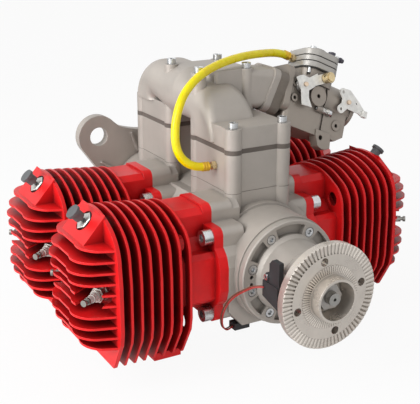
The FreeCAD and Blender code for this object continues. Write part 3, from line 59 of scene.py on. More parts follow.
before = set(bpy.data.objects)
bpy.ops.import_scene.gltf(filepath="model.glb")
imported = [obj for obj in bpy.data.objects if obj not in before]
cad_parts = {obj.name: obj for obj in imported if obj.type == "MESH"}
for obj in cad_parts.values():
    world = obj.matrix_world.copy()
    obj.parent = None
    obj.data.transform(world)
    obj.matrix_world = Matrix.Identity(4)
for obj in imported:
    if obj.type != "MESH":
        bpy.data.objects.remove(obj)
CAD_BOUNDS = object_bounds()

PHOTO_WIDTH = 420
FOCAL_PIXELS = 920.0
SENSOR_MM = 36.0
CAMERA_PLACE = Vector((-0.4904, -0.6414, 0.3608))
CAMERA_TARGET = Vector((0.0, 0.2325, 0.0274))
CAMERA_CLIP = (0.01, 50.0)
AMBIENT = 0.38
FLOOR_GLOW = 0.93
FLOOR_HALF = 6.0
FLOOR_DROP = 0.001
# Name, place, side length and power of each lamp
LAMPS = (
    ("key_lamp", (-1.35, 0.0, 1.15), 1.0, 14.0),
    ("low_lamp", (-1.6, 0.1, 0.45), 0.9, 14.0),
    ("front_lamp", (-0.5, -1.5, 0.6), 1.2, 4.0),
)

CYLINDERS = ("left_front", "right_front", "left_rear", "right_rear")

# Sizes and places from here on are in millimetres. First the middle lines of hose and leads.
HOSE_ROUTE = (
    (-44, 157, 95.5), (-56, 157, 96), (-67.5, 158, 100.6), (-75.6, 159.9, 109),
    (-79.4, 162.3, 120.5), (-78.2, 165.8, 138), (-72.4, 170, 155.5), (-60.5, 177, 171.5),
    (-39.5, 187, 184), (-10, 200, 191.5), (27, 214, 195), (62, 225.5, 194.3),
    (92.07, 233.06, 191.54), (103.95, 233.06, 186.26),
)
LEAD_ROUTE = (
    (-46.8, 45, 3.4), (-52, 52.8, 2), (-57, 59.8, -3.4), (-63, 70.7, -12.2), (-67, 78.1, -22.2),
    (-69, 83.4, -33.8), (-69, 86.4, -43.8), (-66, 90, -53), (-60, 94, -60), (-54, 98, -62.5),
    (-48, 101, -62),
)
LEAD_SPACING = 3.0

# The carburettor's place and turn, and small pieces in its own frame. A spring has a start, an
# end, a coil radius, a wire radius and a number of turns. A turned piece has stations of
# distance and radius.
CARBURETTOR_PLACE = (96.9, 218.0, 154.2)
CARBURETTOR_PITCH = math.radians(24)
CARBURETTOR_ROLL = math.radians(17)
IDLE_SCREW_PLACE = (0, -20.5, -19.0)
IDLE_SCREW = (
    (26, 0.9), (26.6, 1.75), (44, 1.75), (44.01, 3.6), (44.3, 3.9), (47.7, 3.9), (48, 3.5),
)
IDLE_SPRING = (34.1, 43.9, 3.3, 0.6, 5.5)
RETURN_SPRING = (19.3, 24.8, 7.75, 0.6, 3.5)

# Stations of a ferrule: distance from the hose's end and height above the hose
FERRULE = (
    (0.0, 0.05), (0.4, 0.45), (1.9, 0.45), (2.2, 0.15), (3.2, 0.15), (3.5, 0.45),
    (5.0, 0.45), (5.3, 0.15), (6.3, 0.15), (6.6, 0.4), (8.1, 0.4), (8.4, 0.02),
)
FERRULE_SIDES = 48

# Reed towers: half sizes, corner columns (x, y, radius), and the painted shadow line at their foot
TOWER_HALF = (36.0, 40.0)
TOWER_COLUMN = (29.3, 36.0, 9.0)
TOWER_PLACES = (168.5, 303.5)
TOWER_JOINT = 72.0
JOINT_HALF = 0.15
JOINT_PROUD = 0.12
JOINT_DEPTH = 1.0
JOINT_STEPS = 720

# Intake manifold: its log with the hood in front and the bend behind, and the plenum
LOG_MIDDLE = -12.0
LOG_HALF = 31.0
LOG_FULL = 240.0
HOOD_AXIS = (213.0, 119.0)
HOOD_REACH = 53.0
BEND_AXIS = (297.0, 137.0)
BEND_HALF = 29.0
# Degrees round the bend from upright, and the corner radius of its section there
BEND_CORNERS = ((0, 30, 60, 90), (23, 21, 17, 12))
PLENUM_SIDE = -12.0
PLENUM_TOP = 184.0
PLENUM_ROOF = 179.6
HALF_WALL = 2.0

# Foot of the plenum's left wall
WEB_START = 202.5
WEB_END = 239.5
WEB_STEPS = 38
WEB_FILLET = 6.0
WEB_THICKNESS = 3.0
WEB_ROOT = 4.0
WEB_OVERLAP = 0.05

# Pocket around a short tower screw
POCKET_PLACE = (-29.3, 339.5)
POCKET_RADIUS = 6.0
POCKET_FLOOR = 139.0
POCKET_WALL = 0.8
POCKET_PROUD = 0.04

# Tip of a decompression valve (x, z), and its hexagon: distance from the tip and radius
VALVE_TIP = (200.5, 77.0)
VALVE_HEXAGON = ((24.0, 9.7), (16.0, 9.7), (15.25, 8.7))

# Colours of small pieces, by their material
TINTS = {
    "reed_plate": (0.12, 0.10, 0.085),
    # Dark band painted as the shadow line at each reed tower's foot
    "joint_shadow_line": (0.09, 0.08, 0.07),
    "nut_steel": (0.42, 0.40, 0.38),
    "ground_steel": (0.40, 0.39, 0.37),
    "plug_shell": (0.62, 0.60, 0.56),
    "plug_insulator": (0.58, 0.57, 0.54),
    "plug_terminal": (0.30, 0.29, 0.27),
    "valve_zinc": (0.66, 0.66, 0.63),
    "valve_button": (0.10, 0.105, 0.11),
    "spacer": (0.20, 0.17, 0.14),
    "pump_alloy": (0.46, 0.44, 0.41),
    "pump_gasket": (0.035, 0.033, 0.03),
    "lever_zinc": (0.93, 0.92, 0.88),
    "shaft_copper": (0.78, 0.62, 0.47),
    "brass": (0.72, 0.58, 0.34),
    "dark_fitting": (0.075, 0.07, 0.095),
    "return_wire": (0.5, 0.48, 0.45),
    "spring_wire": (0.74, 0.72, 0.68),
    "bearing_steel": (0.6, 0.6, 0.6),
    "seal_rubber": (0.03, 0.03, 0.03),
    "piston_alloy": (0.6, 0.6, 0.58),
    "reed_cage": (0.04, 0.04, 0.04),
    "amber_brass": (0.78, 0.47, 0.03),
    "sensor_black": (0.022, 0.022, 0.024),
    "sensor_lead_red": (0.42, 0.02, 0.015),
    "sensor_lead_brown": (0.16, 0.05, 0.025),
}


# Sizes and colours


class EngineColours(bpy.types.PropertyGroup):
    """Colours of the engine's finishes."""

    fin_red: bpy.props.FloatVectorProperty(
        name="Fin red", description="Enamel on the cylinders", subtype="COLOR",
        default=(0.80, 0.010, 0.012), min=0, max=1)
    casting: bpy.props.FloatVectorProperty(
        name="Casting", description="Blasted crankcase alloy", subtype="COLOR",
        default=(0.45, 0.41, 0.37), min=0, max=1)
    machined: bpy.props.FloatVectorProperty(
        name="Machined alloy", description="Turned faces of hub and covers", subtype="COLOR",
        default=(0.68, 0.625, 0.565), min=0, max=1)
    zinc: bpy.props.FloatVectorProperty(
        name="Zinc", description="Plated screws", subtype="COLOR",
        default=(0.66, 0.67, 0.68), min=0, max=1)
    hose: bpy.props.FloatVectorProperty(
        name="Hose", description="Impulse hose", subtype="COLOR",
        default=(1.0, 0.80, 0.0), min=0, max=1)
    carburettor: bpy.props.FloatVectorProperty(
        name="Carburettor alloy", description="Die-cast carburettor body", subtype="COLOR",
        default=(0.36, 0.315, 0.27), min=0, max=1)


class EngineSizes(bpy.types.PropertyGroup):
    """Sizes of the small pieces and of surface grain."""

    blast_grain: bpy.props.FloatProperty(
        name="Blast grain", description="Grain size of the blasted castings", subtype="DISTANCE",
        unit="LENGTH", default=0.0007, min=0.0001, max=0.01)
    hose_diameter: bpy.props.FloatProperty(
        name="Hose diameter", description="Outside of the impulse hose", subtype="DISTANCE",
        unit="LENGTH", default=0.009, min=0.002, max=0.02)
    lead_diameter: bpy.props.FloatProperty(
        name="Lead diameter", description="Outside of each sensor lead", subtype="DISTANCE",
        unit="LENGTH", default=0.0016, min=0.0005, max=0.01)


def colours():
    """The colour settings of this scene."""
    return bpy.context.scene.engine_colours


def sizes():
    """The size settings of this scene."""
    return bpy.context.scene.engine_sizes


# Materials


class Finish:
    """A material under construction, with short calls for the nodes it needs."""

    def __init__(self, name):
        self.material = bpy.data.materials.new(name)
        self.material.use_nodes = True
        self.tree = self.material.node_tree
        self.shader = self.tree.nodes["Principled BSDF"]
        self.place = self.add("ShaderNodeTexCoord").outputs["Object"]

    def add(self, kind, **settings):
        """A new node with its settings."""
        node = self.tree.nodes.new(kind)
        for key, value in settings.items():
            setattr(node, key, value)
        return node

    def link(self, source, target):
        """Connect two sockets."""
        self.tree.links.new(source, target)

    def soft_edges(self, radius):
        """Normal that rounds sharp edges and corners by a radius in metres."""
        node = self.add("ShaderNodeBevel", samples=6)
        node.inputs["Radius"].default_value = radius
        return node.outputs["Normal"]

    def noise(self, size, detail=2.0, roughness=0.5, stretch=(1, 1, 1)):
        """Noise whose features are about size metres across."""
        mapping = self.add("ShaderNodeMapping")
        mapping.inputs["Scale"].default_value = [s / size for s in stretch]
        self.link(self.place, mapping.inputs["Vector"])
        node = self.add("ShaderNodeTexNoise")
        node.inputs["Scale"].default_value = 1.0
        node.inputs["Detail"].default_value = detail
        node.inputs["Roughness"].default_value = roughness
        self.link(mapping.outputs["Vector"], node.inputs["Vector"])
        return node.outputs["Fac"]

    def painted_gap_shade(self, colour, dark, reach):
        """Painted shade: colour that turns to a dark one where surfaces within reach metres close
        in.
        """
        gap = self.add("ShaderNodeAmbientOcclusion", samples=8)
        gap.inputs["Distance"].default_value = reach
        mix = self.add("ShaderNodeMix", data_type="RGBA")
        openness = self.spread(gap.outputs["AO"], 0.0, 1.0, start=0.15, end=0.8)
        self.link(openness, mix.inputs["Factor"])
        mix.inputs["A"].default_value = (*dark, 1.0)
        self.link(colour, mix.inputs["B"])
        return mix.outputs["Result"]

    def spread(self, value, low, high, start=0.3, end=0.7):
        """Value mapped from start..end to low..high."""
        node = self.add("ShaderNodeMapRange")
        node.inputs["From Min"].default_value = start
        node.inputs["From Max"].default_value = end
        node.inputs["To Min"].default_value = low
        node.inputs["To Max"].default_value = high
        self.link(value, node.inputs["Value"])
        return node.outputs["Result"]

    def ramp(self, value, *stops):
        """Colour ramp from (position, colour) stops."""
        node = self.add("ShaderNodeValToRGB")
        elements = node.color_ramp.elements
        while len(elements) < len(stops):
            elements.new(0.5)
        for element, (position, colour) in zip(elements, stops):
            element.position = position
            element.color = (*colour, 1.0)
        self.link(value, node.inputs["Fac"])
        return node.outputs["Color"]

    def two_tones(self, value, colour, low, high):
        """Colour that runs from a darker shade of itself to a lighter one."""
        return self.ramp(value, (0.3, shade(colour, low)), (0.7, shade(colour, high)))

    def three_tones(self, value, colour, low, high):
        """The same, with the colour itself between the shades."""
        stops = (0.3, shade(colour, low)), (0.55, colour), (0.75, shade(colour, high))
        return self.ramp(value, *stops)

    def bump(self, height, strength, distance, before=None):
        """Bump from a height socket, over another normal if there is one."""
        node = self.add("ShaderNodeBump")
        node.inputs["Strength"].default_value = strength
        node.inputs["Distance"].default_value = distance
        self.link(height, node.inputs["Height"])
        if before is not None:
            self.link(before, node.inputs["Normal"])
        return node.outputs["Normal"]

    def end(self, colour, roughness, normal):
        """Connect what was built and hand the material over."""
        self.link(colour, self.shader.inputs["Base Color"])
        self.link(roughness, self.shader.inputs["Roughness"])
        self.link(normal, self.shader.inputs["Normal"])
        return self.material


def shade(colour, factor):
    """Colour made darker or lighter."""
    return tuple(min(1.0, channel * factor) for channel in colour[:3])


def blasted_alloy(name, colour, grain, roughness=0.5, edge=0.0012, dark=0.45, reach=0.012):
    """Sand-blasted casting: fine pits, soft cloudy tone, slightly uneven sheen, cast radii and
    painted shade in its gaps.
    """
    finish = Finish(name)
    finish.shader.inputs["Metallic"].default_value = 0.3
    cloud = finish.noise(0.045, detail=4.0, roughness=0.6)
    pits = finish.noise(grain, detail=3.0, roughness=0.7)
    swell = finish.noise(0.012)
    tone = finish.three_tones(cloud, colour, low=0.90, high=1.07)
    rough = finish.spread(cloud, roughness - 0.05, roughness + 0.07)
    normal = finish.bump(swell, strength=0.12, distance=0.0006, before=finish.soft_edges(edge))
    normal = finish.bump(pits, strength=0.35, distance=0.00012, before=normal)
    return finish.end(finish.painted_gap_shade(tone, shade(colour, dark), reach), rough, normal)


def turned_alloy(name, colour, roughness=0.28):
    """Lathe-turned alloy: fine rings about the crankshaft, and painted shade in its gaps."""
    finish = Finish(name)
    finish.shader.inputs["Metallic"].default_value = 0.75
    wave = finish.add("ShaderNodeTexWave", wave_type="RINGS", rings_direction="Y")
    wave.inputs["Scale"].default_value = 420.0
    wave.inputs["Distortion"].default_value = 1.2
    wave.inputs["Detail"].default_value = 2.0
    finish.link(finish.place, wave.inputs["Vector"])
    cloud = finish.noise(0.02, detail=3.0, roughness=0.6)
    tone = finish.two_tones(cloud, colour, low=0.9, high=1.04)
    rough = finish.spread(cloud, roughness - 0.05, roughness + 0.10)
    normal = finish.bump(wave.outputs["Fac"], strength=0.10, distance=0.00005,
                         before=finish.soft_edges(0.0003))
    return finish.end(finish.painted_gap_shade(tone, shade(colour, 0.16), reach=0.007), rough, normal)


def red_enamel(name, colour):
    """Baked enamel on a sand casting: gloss over a faint orange peel, with painted shade in the
    gaps between its fins.
    """
    finish = Finish(name)
    finish.shader.inputs["Specular IOR Level"].default_value = 0.3
    finish.shader.inputs["Coat Weight"].default_value = 0.1
    finish.shader.inputs["Coat Roughness"].default_value = 0.3
    cloud = finish.noise(0.03, detail=4.0, roughness=0.6)
    peel = finish.noise(0.0016, detail=3.0, roughness=0.6)
    swell = finish.noise(0.009)
    tone = finish.three_tones(cloud, colour, low=0.86, high=1.06)
    rough = finish.spread(cloud, 0.34, 0.46)
    normal = finish.bump(swell, strength=0.15, distance=0.0005, before=finish.soft_edges(0.0007))
    normal = finish.bump(peel, strength=0.22, distance=0.00012, before=normal)
    return finish.end(finish.painted_gap_shade(tone, shade(colour, 0.12), reach=0.022), rough, normal)


def plated_steel(name, roughness=0.25, metallic=1.0, colour=None):
    """Plated or ground steel with fine scuffs and painted shade in its gaps, in its tint if no
    other colour is given.
    """
    if colour is None:
        colour = TINTS[name]
    finish = Finish(name)
    finish.shader.inputs["Metallic"].default_value = metallic
    cloud = finish.noise(0.006, detail=3.0, roughness=0.6)
    scuff = finish.noise(0.0012, roughness=0.6, stretch=(1, 1, 4))
    tone = finish.two_tones(cloud, colour, low=0.85, high=1.05)
    rough = finish.spread(scuff, roughness - 0.07, roughness + 0.12)
    normal = finish.bump(scuff, strength=0.12, distance=0.00005, before=finish.soft_edges(0.0003))
    return finish.end(finish.painted_gap_shade(tone, shade(colour, 0.1), reach=0.003), rough, normal)


def moulded(name, roughness=0.5, coat=0.0):
    """Moulded plastic or rubber in its tint, with a fine grain."""
    colour = TINTS[name]
    finish = Finish(name)
    finish.shader.inputs["Coat Weight"].default_value = coat
    cloud = finish.noise(0.01, detail=3.0, roughness=0.6)
    pits = finish.noise(0.0008, roughness=0.6)
    tone = finish.two_tones(cloud, colour, low=0.85, high=1.1)
    rough = finish.spread(cloud, roughness - 0.06, roughness + 0.08)
    return finish.end(tone, rough, finish.bump(pits, strength=0.2, distance=0.00008))


def clear_hose(name, colour):
    """Tinted clear hose: light passes through its wall."""
    finish = Finish(name)
    finish.shader.inputs["Subsurface Weight"].default_value = 0.3
    finish.shader.inputs["Subsurface Radius"].default_value = (0.004, 0.003, 0.0005)
    finish.shader.inputs["Subsurface Scale"].default_value = 1.0
    finish.shader.inputs["Specular IOR Level"].default_value = 0.3
    finish.shader.inputs["Coat Weight"].default_value = 0.25
    finish.shader.inputs["Coat Roughness"].default_value = 0.1
    cloud = finish.noise(0.02)
    tone = finish.two_tones(cloud, colour, low=0.88, high=1.06)
    rough = finish.spread(cloud, 0.24, 0.32)
    normal = finish.bump(finish.noise(0.004), strength=0.02, distance=0.0001)
    return finish.end(tone, rough, normal)


def dress(material, *nodes):
    """Give CAD nodes a material."""
    for node in nodes:
        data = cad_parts[node].data
        data.materials.clear()
        data.materials.append(material)


# New pieces


def metres(points):
    """Points in metres from points in millimetres."""
    return np.asarray(points, dtype=float) / 1000


def tube_along(name, points, diameter, material):
    """Round tube whose middle line is a smooth curve with the points as control points."""
    curve = bpy.data.curves.new(name, "CURVE")
    curve.dimensions = "3D"
    curve.bevel_depth = diameter / 2
    curve.bevel_resolution = 8
    curve.use_fill_caps = True
    spline = curve.splines.new("NURBS")
    spline.points.add(len(points) - 1)
    for item, point in zip(spline.points, points):
        item.co = (*point, 1.0)
    spline.order_u = 3
    spline.use_endpoint_u = True
    spline.resolution_u = 24
    curve.materials.append(material)
    piece = bpy.data.objects.new(name, curve)
    bpy.context.scene.collection.objects.link(piece)
    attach(piece, "engine")
    return piece


def closed_surface(name, rings, material, loop=False, smooth=True):
    """Closed mesh from rings of points, an array of ring by point by xyz.

    Neighbouring rings are joined by quads. The first and last ring are joined too if loop is
    true, and otherwise each is closed by one face. Faces are turned so that the volume, the sum
    of the triple products of their corners about the middle, is positive.
    """
    count, size = rings.shape[:2]
    index = np.arange(count * size).reshape(count, size)
    near = index if loop else index[:-1]
    far = np.roll(index, -1, axis=0) if loop else index[1:]
    quads = np.stack([near, np.roll(near, -1, 1), np.roll(far, -1, 1), far], axis=-1)
    quads = quads.reshape(-1, 4)
    points = rings.reshape(-1, 3)
    corners = points[quads] - points.mean(axis=0)
    volume = np.einsum("ij,ij->", corners[:, 0], np.cross(corners[:, 1], corners[:, 2]))
    faces = quads.tolist()
    if not loop:
        faces += [index[0][::-1].tolist(), index[-1].tolist()]
    if volume < 0:
        faces = [face[::-1] for face in faces]
    mesh = bpy.data.meshes.new(name)
    mesh.from_pydata(points.tolist(), [], faces)
    mesh.polygons.foreach_set("use_smooth", np.full(len(faces), smooth))
    mesh.materials.append(material)
    mesh.validate()
    piece = bpy.data.objects.new(name, mesh)
    bpy.context.scene.collection.objects.link(piece)
    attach(piece, "engine")
    return piece


def on_carburettor(points):
    """Points of the carburettor's own frame (along the bore, along the shafts, up) in metres.

    They are rolled about the bore, pitched about Y and moved to the carburettor's place.
    """
    a, b, n = np.moveaxis(np.asarray(points, dtype=float), -1, 0)
    y = b * math.cos(CARBURETTOR_ROLL) + n * math.sin(CARBURETTOR_ROLL)
    z = -b * math.sin(CARBURETTOR_ROLL) + n * math.cos(CARBURETTOR_ROLL)
    x = a * math.cos(CARBURETTOR_PITCH) + z * math.sin(CARBURETTOR_PITCH)
    z = -a * math.sin(CARBURETTOR_PITCH) + z * math.cos(CARBURETTOR_PITCH)
    return metres(np.stack([x, y, z], axis=-1) + CARBURETTOR_PLACE)


def turned_rings(stations, sides=32):
    """Rings of a body turned about the first axis.

    A station is (distance, radius), and its ring is radius times (cos, sin) of the angle.
    """
    distance, radius = np.asarray(stations, dtype=float).T[:, :, None]
    angle = np.linspace(0, 2 * math.pi, sides, endpoint=False)
    along = distance + 0 * angle
    return np.stack([along, radius * np.cos(angle), radius * np.sin(angle)], axis=-1)


def coil_rings(start, end, radius, wire, turns, steps_per_turn=28, sides=10):
    """Rings of a helical spring about the first axis.

    The wire's middle is at (distance, radius cos t, radius sin t), and its ring lies in the
    plane of the radial direction and the axis. The pitch closes up at both ends.
    """
    share = np.linspace(0, 1, int(turns * steps_per_turn) + 1)
    turn = share * turns * 2 * math.pi
    eased = np.clip((share * turns - 0.75) / (turns - 1.5), 0, 1)
    distance = start + wire + (end - start - 2 * wire) * eased
    angle = np.linspace(0, 2 * math.pi, sides, endpoint=False)
    out = radius + wire * np.cos(angle)[None, :]
    along = distance[:, None] + wire * np.sin(angle)[None, :]
    return np.stack([along, out * np.cos(turn)[:, None], out * np.sin(turn)[:, None]], axis=-1)


def ferrule(name, start, towards, radius, material):
    """Ribbed sleeve over the end of a hose.

    Its rings are turned about the line from start towards a second point: each ring's middle is
    start plus distance times direction, and its points are radius times (cos, sin) of the angle
    along two directions across it.
    """
    start = np.asarray(start)
    along = np.asarray(towards) - start
    along /= np.linalg.norm(along)
    across = np.cross(along, (0, 0, 1))
    across /= np.linalg.norm(across)
    up = np.cross(along, across)
    stations = [(distance, radius * 1000 + proud) for distance, proud in FERRULE]
    rings = metres(turned_rings(stations, FERRULE_SIDES))
    points = start + rings[..., :1] * along + rings[..., 1:2] * across + rings[..., 2:] * up
    return closed_surface(name, points, material)


def tower_outline(angle):
    """Distance from a tower's middle to its outline at each angle.

    The larger of the rectangle's min(half x / |cos|, half y / |sin|) and, for each corner
    column, the far root of the ray's crossing of its circle.
    """
    half_x, half_y = TOWER_HALF
    across, along, column = TOWER_COLUMN
    cos, sin = np.cos(angle), np.sin(angle)
    reach = np.minimum(half_x / np.maximum(np.abs(cos), 1e-9),
                       half_y / np.maximum(np.abs(sin), 1e-9))
    for x in (-across, across):
        for y in (-along, along):
            towards = x * cos + y * sin
            inside = column ** 2 - (x ** 2 + y ** 2 - towards ** 2)
            hit = towards + np.sqrt(np.maximum(inside, 0))
            reach = np.where((inside > 0) & (towards > 0), np.maximum(reach, hit), reach)
    return reach


def joint_line(name, middle_y, material):
    """Thin dark band, a painted shadow line where a reed tower stands on the crankcase.

    A band with four edges follows the tower's outline: the outline's distance plus a part that is
    proud or deep, above and below the joint.
    """
    angle = np.linspace(0, 2 * math.pi, JOINT_STEPS, endpoint=False)
    reach = tower_outline(angle)
    edges = ((-JOINT_DEPTH, -JOINT_HALF), (JOINT_PROUD, -JOINT_HALF),
             (JOINT_PROUD, JOINT_HALF), (-JOINT_DEPTH, JOINT_HALF))
    rings = [np.stack([(reach + out) * np.cos(angle), (reach + out) * np.sin(angle) + middle_y,
                       np.full_like(angle, TOWER_JOINT + up)], axis=-1) for out, up in edges]
    return closed_surface(name, metres(np.stack(rings, axis=1)), material, True, False)


def plenum_web(material):
    """Foot of the plenum's left wall, where the log runs into it with a hollow fillet.

    The log's top is a circle about the hood's axis and then a straight slope up to the plenum's
    top. At each place along it the profile is the wall's inside, its outside and a quarter circle
    that is hollow: out = size (1 - cos t), up = size (1 - sin t).
    """
    y = np.linspace(WEB_START, WEB_END, WEB_STEPS)
    axis_y, axis_z = HOOD_AXIS
    bend = axis_z + np.sqrt(HOOD_REACH ** 2 - (np.minimum(y, axis_y) - axis_y) ** 2)
    slope = np.clip((y - axis_y) / (LOG_FULL - axis_y), 0, 1)
    top = bend + slope * (PLENUM_TOP - axis_z - HOOD_REACH)
    growth = np.clip((y - WEB_START) / WEB_FILLET, 0.02, 1)
    size = np.minimum(WEB_FILLET, PLENUM_TOP - WEB_OVERLAP - top) * growth
    turn = np.linspace(0, math.pi / 2, 9)
    side = PLENUM_SIDE + WEB_OVERLAP
    inner = side + WEB_THICKNESS
    out = side - size[:, None] * (1 - np.cos(turn))[None, :]
    up = top[:, None] + size[:, None] * (1 - np.sin(turn))[None, :]
    roof = np.maximum(PLENUM_ROOF, up[:, 0])
    xs = np.column_stack([np.full_like(y, inner), np.full_like(y, inner), np.full_like(y, side),
                          out, out[:, -1]])
    zs = np.column_stack([top - WEB_ROOT, roof, roof, up, top - WEB_ROOT])
    rings = np.stack([xs, np.repeat(y[:, None], xs.shape[1], 1), zs], axis=-1)
    return closed_surface("plenum_side_web", metres(rings), material,
                          smooth=False)


def screw_pocket(material):
    """Wall of the pocket that a short tower screw leaves in the manifold's rear bend.

    A strip of a cylinder about the screw. At each angle it is as high as the bend reaches there,
    less half a wall. The bend's section is a rectangle with round corners: a point is inside
    where its distances from the section's middle, less the half size minus the corner and not
    below 0, have a length within the corner.
    """
    axis_y, axis_z = BEND_AXIS
    angle = np.linspace(-math.pi, math.pi, 181)
    x = POCKET_PLACE[0] + POCKET_RADIUS * np.cos(angle)
    y = POCKET_PLACE[1] + POCKET_RADIUS * np.sin(angle)
    z = np.linspace(POCKET_FLOOR, PLENUM_TOP, 241)
    turn = np.arctan2(np.maximum(y - axis_y, 0)[:, None], (z - axis_z)[None, :])
    radius = np.hypot(np.maximum(y - axis_y, 0)[:, None], (z - axis_z)[None, :])
    degrees = np.degrees(turn)
    corner = np.interp(degrees, *BEND_CORNERS) - HALF_WALL
    half = np.interp(degrees, (0, 90), (LOG_HALF, BEND_HALF)) - HALF_WALL
    reach = (PLENUM_TOP - axis_z) / 2
    across = np.maximum(np.abs(x - LOG_MIDDLE)[:, None] - half + corner, 0)
    along = np.maximum(np.abs(radius - reach) - reach + HALF_WALL + corner, 0)
    inside = np.hypot(across, along) <= corner
    top = np.where(inside, z[None, :], POCKET_FLOOR).max(axis=1)
    kept = np.flatnonzero(top > POCKET_FLOOR + 1)
    angle, top = angle[kept], top[kept]
    edges = ((-POCKET_PROUD, False), (POCKET_WALL, False),
             (POCKET_WALL, True), (-POCKET_PROUD, True))
    rings = [np.stack([POCKET_PLACE[0] + (POCKET_RADIUS + out) * np.cos(angle),
                       POCKET_PLACE[1] + (POCKET_RADIUS + out) * np.sin(angle),
                       top if high else np.full_like(angle, POCKET_FLOOR)], axis=-1)
             for out, high in edges]
    return closed_surface("manifold_screw_pocket", metres(np.stack(rings, axis=1)), material,
                          smooth=False)


def valve_hexagon(cylinder, material):
    """Hexagon around a decompression valve's body.

    Six-sided rings about the valve's axis, which leans in by 45 degrees from its tip: a point is
    the tip plus distance along the axis plus the ring's two parts across it.
    """
    side = -1 if cylinder.startswith("left") else 1
    low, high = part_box("valve_button_" + cylinder)
    middle_y = (low[1] + high[1]) / 2 * 1000
    slope = math.sqrt(0.5)
    distance, across, along = np.moveaxis(turned_rings(VALVE_HEXAGON, 6), -1, 0)
    x = side * (VALVE_TIP[0] - (distance - across) * slope)
    z = VALVE_TIP[1] - (distance + across) * slope
    rings = np.stack([x, middle_y + along, z], axis=-1)
    return closed_surface("valve_hexagon_" + cylinder, metres(rings), material,
                          smooth=False)


# Operators


class ENGINE_OT_castings(bpy.types.Operator):
    """Blasted castings: crankcase, reed towers, intake manifold and covers"""

    bl_idname = "engine.castings"
    bl_label = "Castings"

    def execute(self, context):
        """Dress the castings."""
        grain = sizes().blast_grain
        alloy = blasted_alloy("blasted_alloy", colours().casting, grain)
        dress(alloy, "crankcase", "reed_housing_front", "reed_housing_rear", "intake_manifold",
              "rear_mounting_cover")
        plenum_web(alloy)
        screw_pocket(alloy)
        dress(blasted_alloy("cover_alloy", shade(colours().machined, 0.66), grain, 0.42),
              "front_bearing_cover", "centre_bearing_carrier")
        dress(moulded("reed_plate", 0.6), "reed_plates")
        # Dark band painted as the shadow line at the foot of each reed tower
        shadow_line = moulded("joint_shadow_line", 0.7)
        for name, middle_y in zip(("front", "rear"), TOWER_PLACES):
            joint_line("tower_joint_" + name, middle_y, shadow_line)
        return {"FINISHED"}


class ENGINE_OT_hub(bpy.types.Operator):
    """Propeller hub, its nut and the crankshaft"""

    bl_idname = "engine.hub"
    bl_label = "Hub and crankshaft"

    def execute(self, context):
        """Dress the hub."""
        dress(turned_alloy("turned_alloy", colours().machined), "propeller_hub")
        dress(plated_steel("nut_steel", 0.35), "hub_nut_and_washer")
        dress(plated_steel("ground_steel", 0.3), "crankshaft")
        return {"FINISHED"}


class ENGINE_OT_cylinders(bpy.types.Operator):
    """Red cylinders with their fins"""

    bl_idname = "engine.cylinders"
    bl_label = "Cylinders"

    def execute(self, context):
        """Dress the cylinders."""
        dress(red_enamel("red_enamel", colours().fin_red),
              *["cylinder_" + name for name in CYLINDERS])
        return {"FINISHED"}


class ENGINE_OT_plugs(bpy.types.Operator):
    """Spark plugs and decompression valves"""

    bl_idname = "engine.plugs"
    bl_label = "Plugs and valves"

    def execute(self, context):
        """Dress the plugs and valves."""
        dress(plated_steel("plug_shell", 0.35), "spark_plug_shells")
        dress(moulded("plug_insulator", 0.3, coat=0.3), "spark_plug_insulators")
        dress(plated_steel("plug_terminal", 0.4), "spark_plug_terminals")
        zinc = plated_steel("valve_zinc", 0.35)
        dress(zinc, "decompression_valve_bodies")
        for name in CYLINDERS:
            valve_hexagon(name, zinc)
        dress(moulded("valve_button"), *["valve_button_" + name for name in CYLINDERS])
        return {"FINISHED"}


class ENGINE_OT_fasteners(bpy.types.Operator):
    """Plated screws and bolts"""

    bl_idname = "engine.fasteners"
    bl_label = "Fasteners"

    def execute(self, context):
        """Dress the fasteners."""
        dress(plated_steel("screw_zinc", 0.24, colour=colours().zinc), "cover_screws",
              "cylinder_bolts", "short_tower_screws", "long_tower_screws", "pump_screws",
              "sensor_screw")
        return {"FINISHED"}


class ENGINE_OT_carburettor(bpy.types.Operator):
    """Carburettor, its pump stack, levers and spacer"""

    bl_idname = "engine.carburettor"
    bl_label = "Carburettor"

    def execute(self, context):
        """Dress the carburettor."""
        grain = sizes().blast_grain
        dress(moulded("spacer"), "carburettor_spacer")
        # dark and reach set how dark and how far the body's gaps are painted in shade
        dress(blasted_alloy("carburettor_alloy", colours().carburettor, grain, 0.34, edge=0.0009,
                            dark=0.22, reach=0.022), "carburettor_body")
        dress(blasted_alloy("pump_alloy", TINTS["pump_alloy"], grain, 0.33), "pump_plates")
        dress(moulded("pump_gasket", 0.55), "pump_gaskets")
        dress(plated_steel("lever_zinc", 0.4, metallic=0.25), "throttle_lever", "choke_lever")
        dress(plated_steel("shaft_copper", 0.35), "throttle_shaft", "choke_shaft")
        dress(plated_steel("brass", 0.3, metallic=0.8), "throttle_butterfly", "choke_butterfly",
              "cable_swivel", "hose_fittings")
        dress(moulded("dark_fitting", 0.35), "fuel_nipple")
        self.add_idle_screw()
        self.add_return_spring()
        return {"FINISHED"}

    def add_idle_screw(self):
        """Idle stop screw with a plain round head, and the coil spring under its head."""
        zinc = plated_steel("idle_zinc", colour=colours().zinc)
        place = np.array(IDLE_SCREW_PLACE)
        screw = closed_surface("idle_stop_screw", on_carburettor(turned_rings(IDLE_SCREW) + place),
                               zinc, smooth=False)
        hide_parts("idle_screw")
        coil = on_carburettor(coil_rings(*IDLE_SPRING) + place)
        spring = closed_surface("idle_stop_spring", coil, plated_steel("spring_wire", 0.3))
        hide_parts("idle_screw")

    def add_return_spring(self):
        """Coil spring around the throttle shaft, between the lever and the body."""
        along, across, up = np.moveaxis(coil_rings(*RETURN_SPRING), -1, 0)
        coil = on_carburettor(np.stack([across, -along, up], axis=-1))
        closed_surface("throttle_return_spring", coil, plated_steel("return_wire", 0.35))


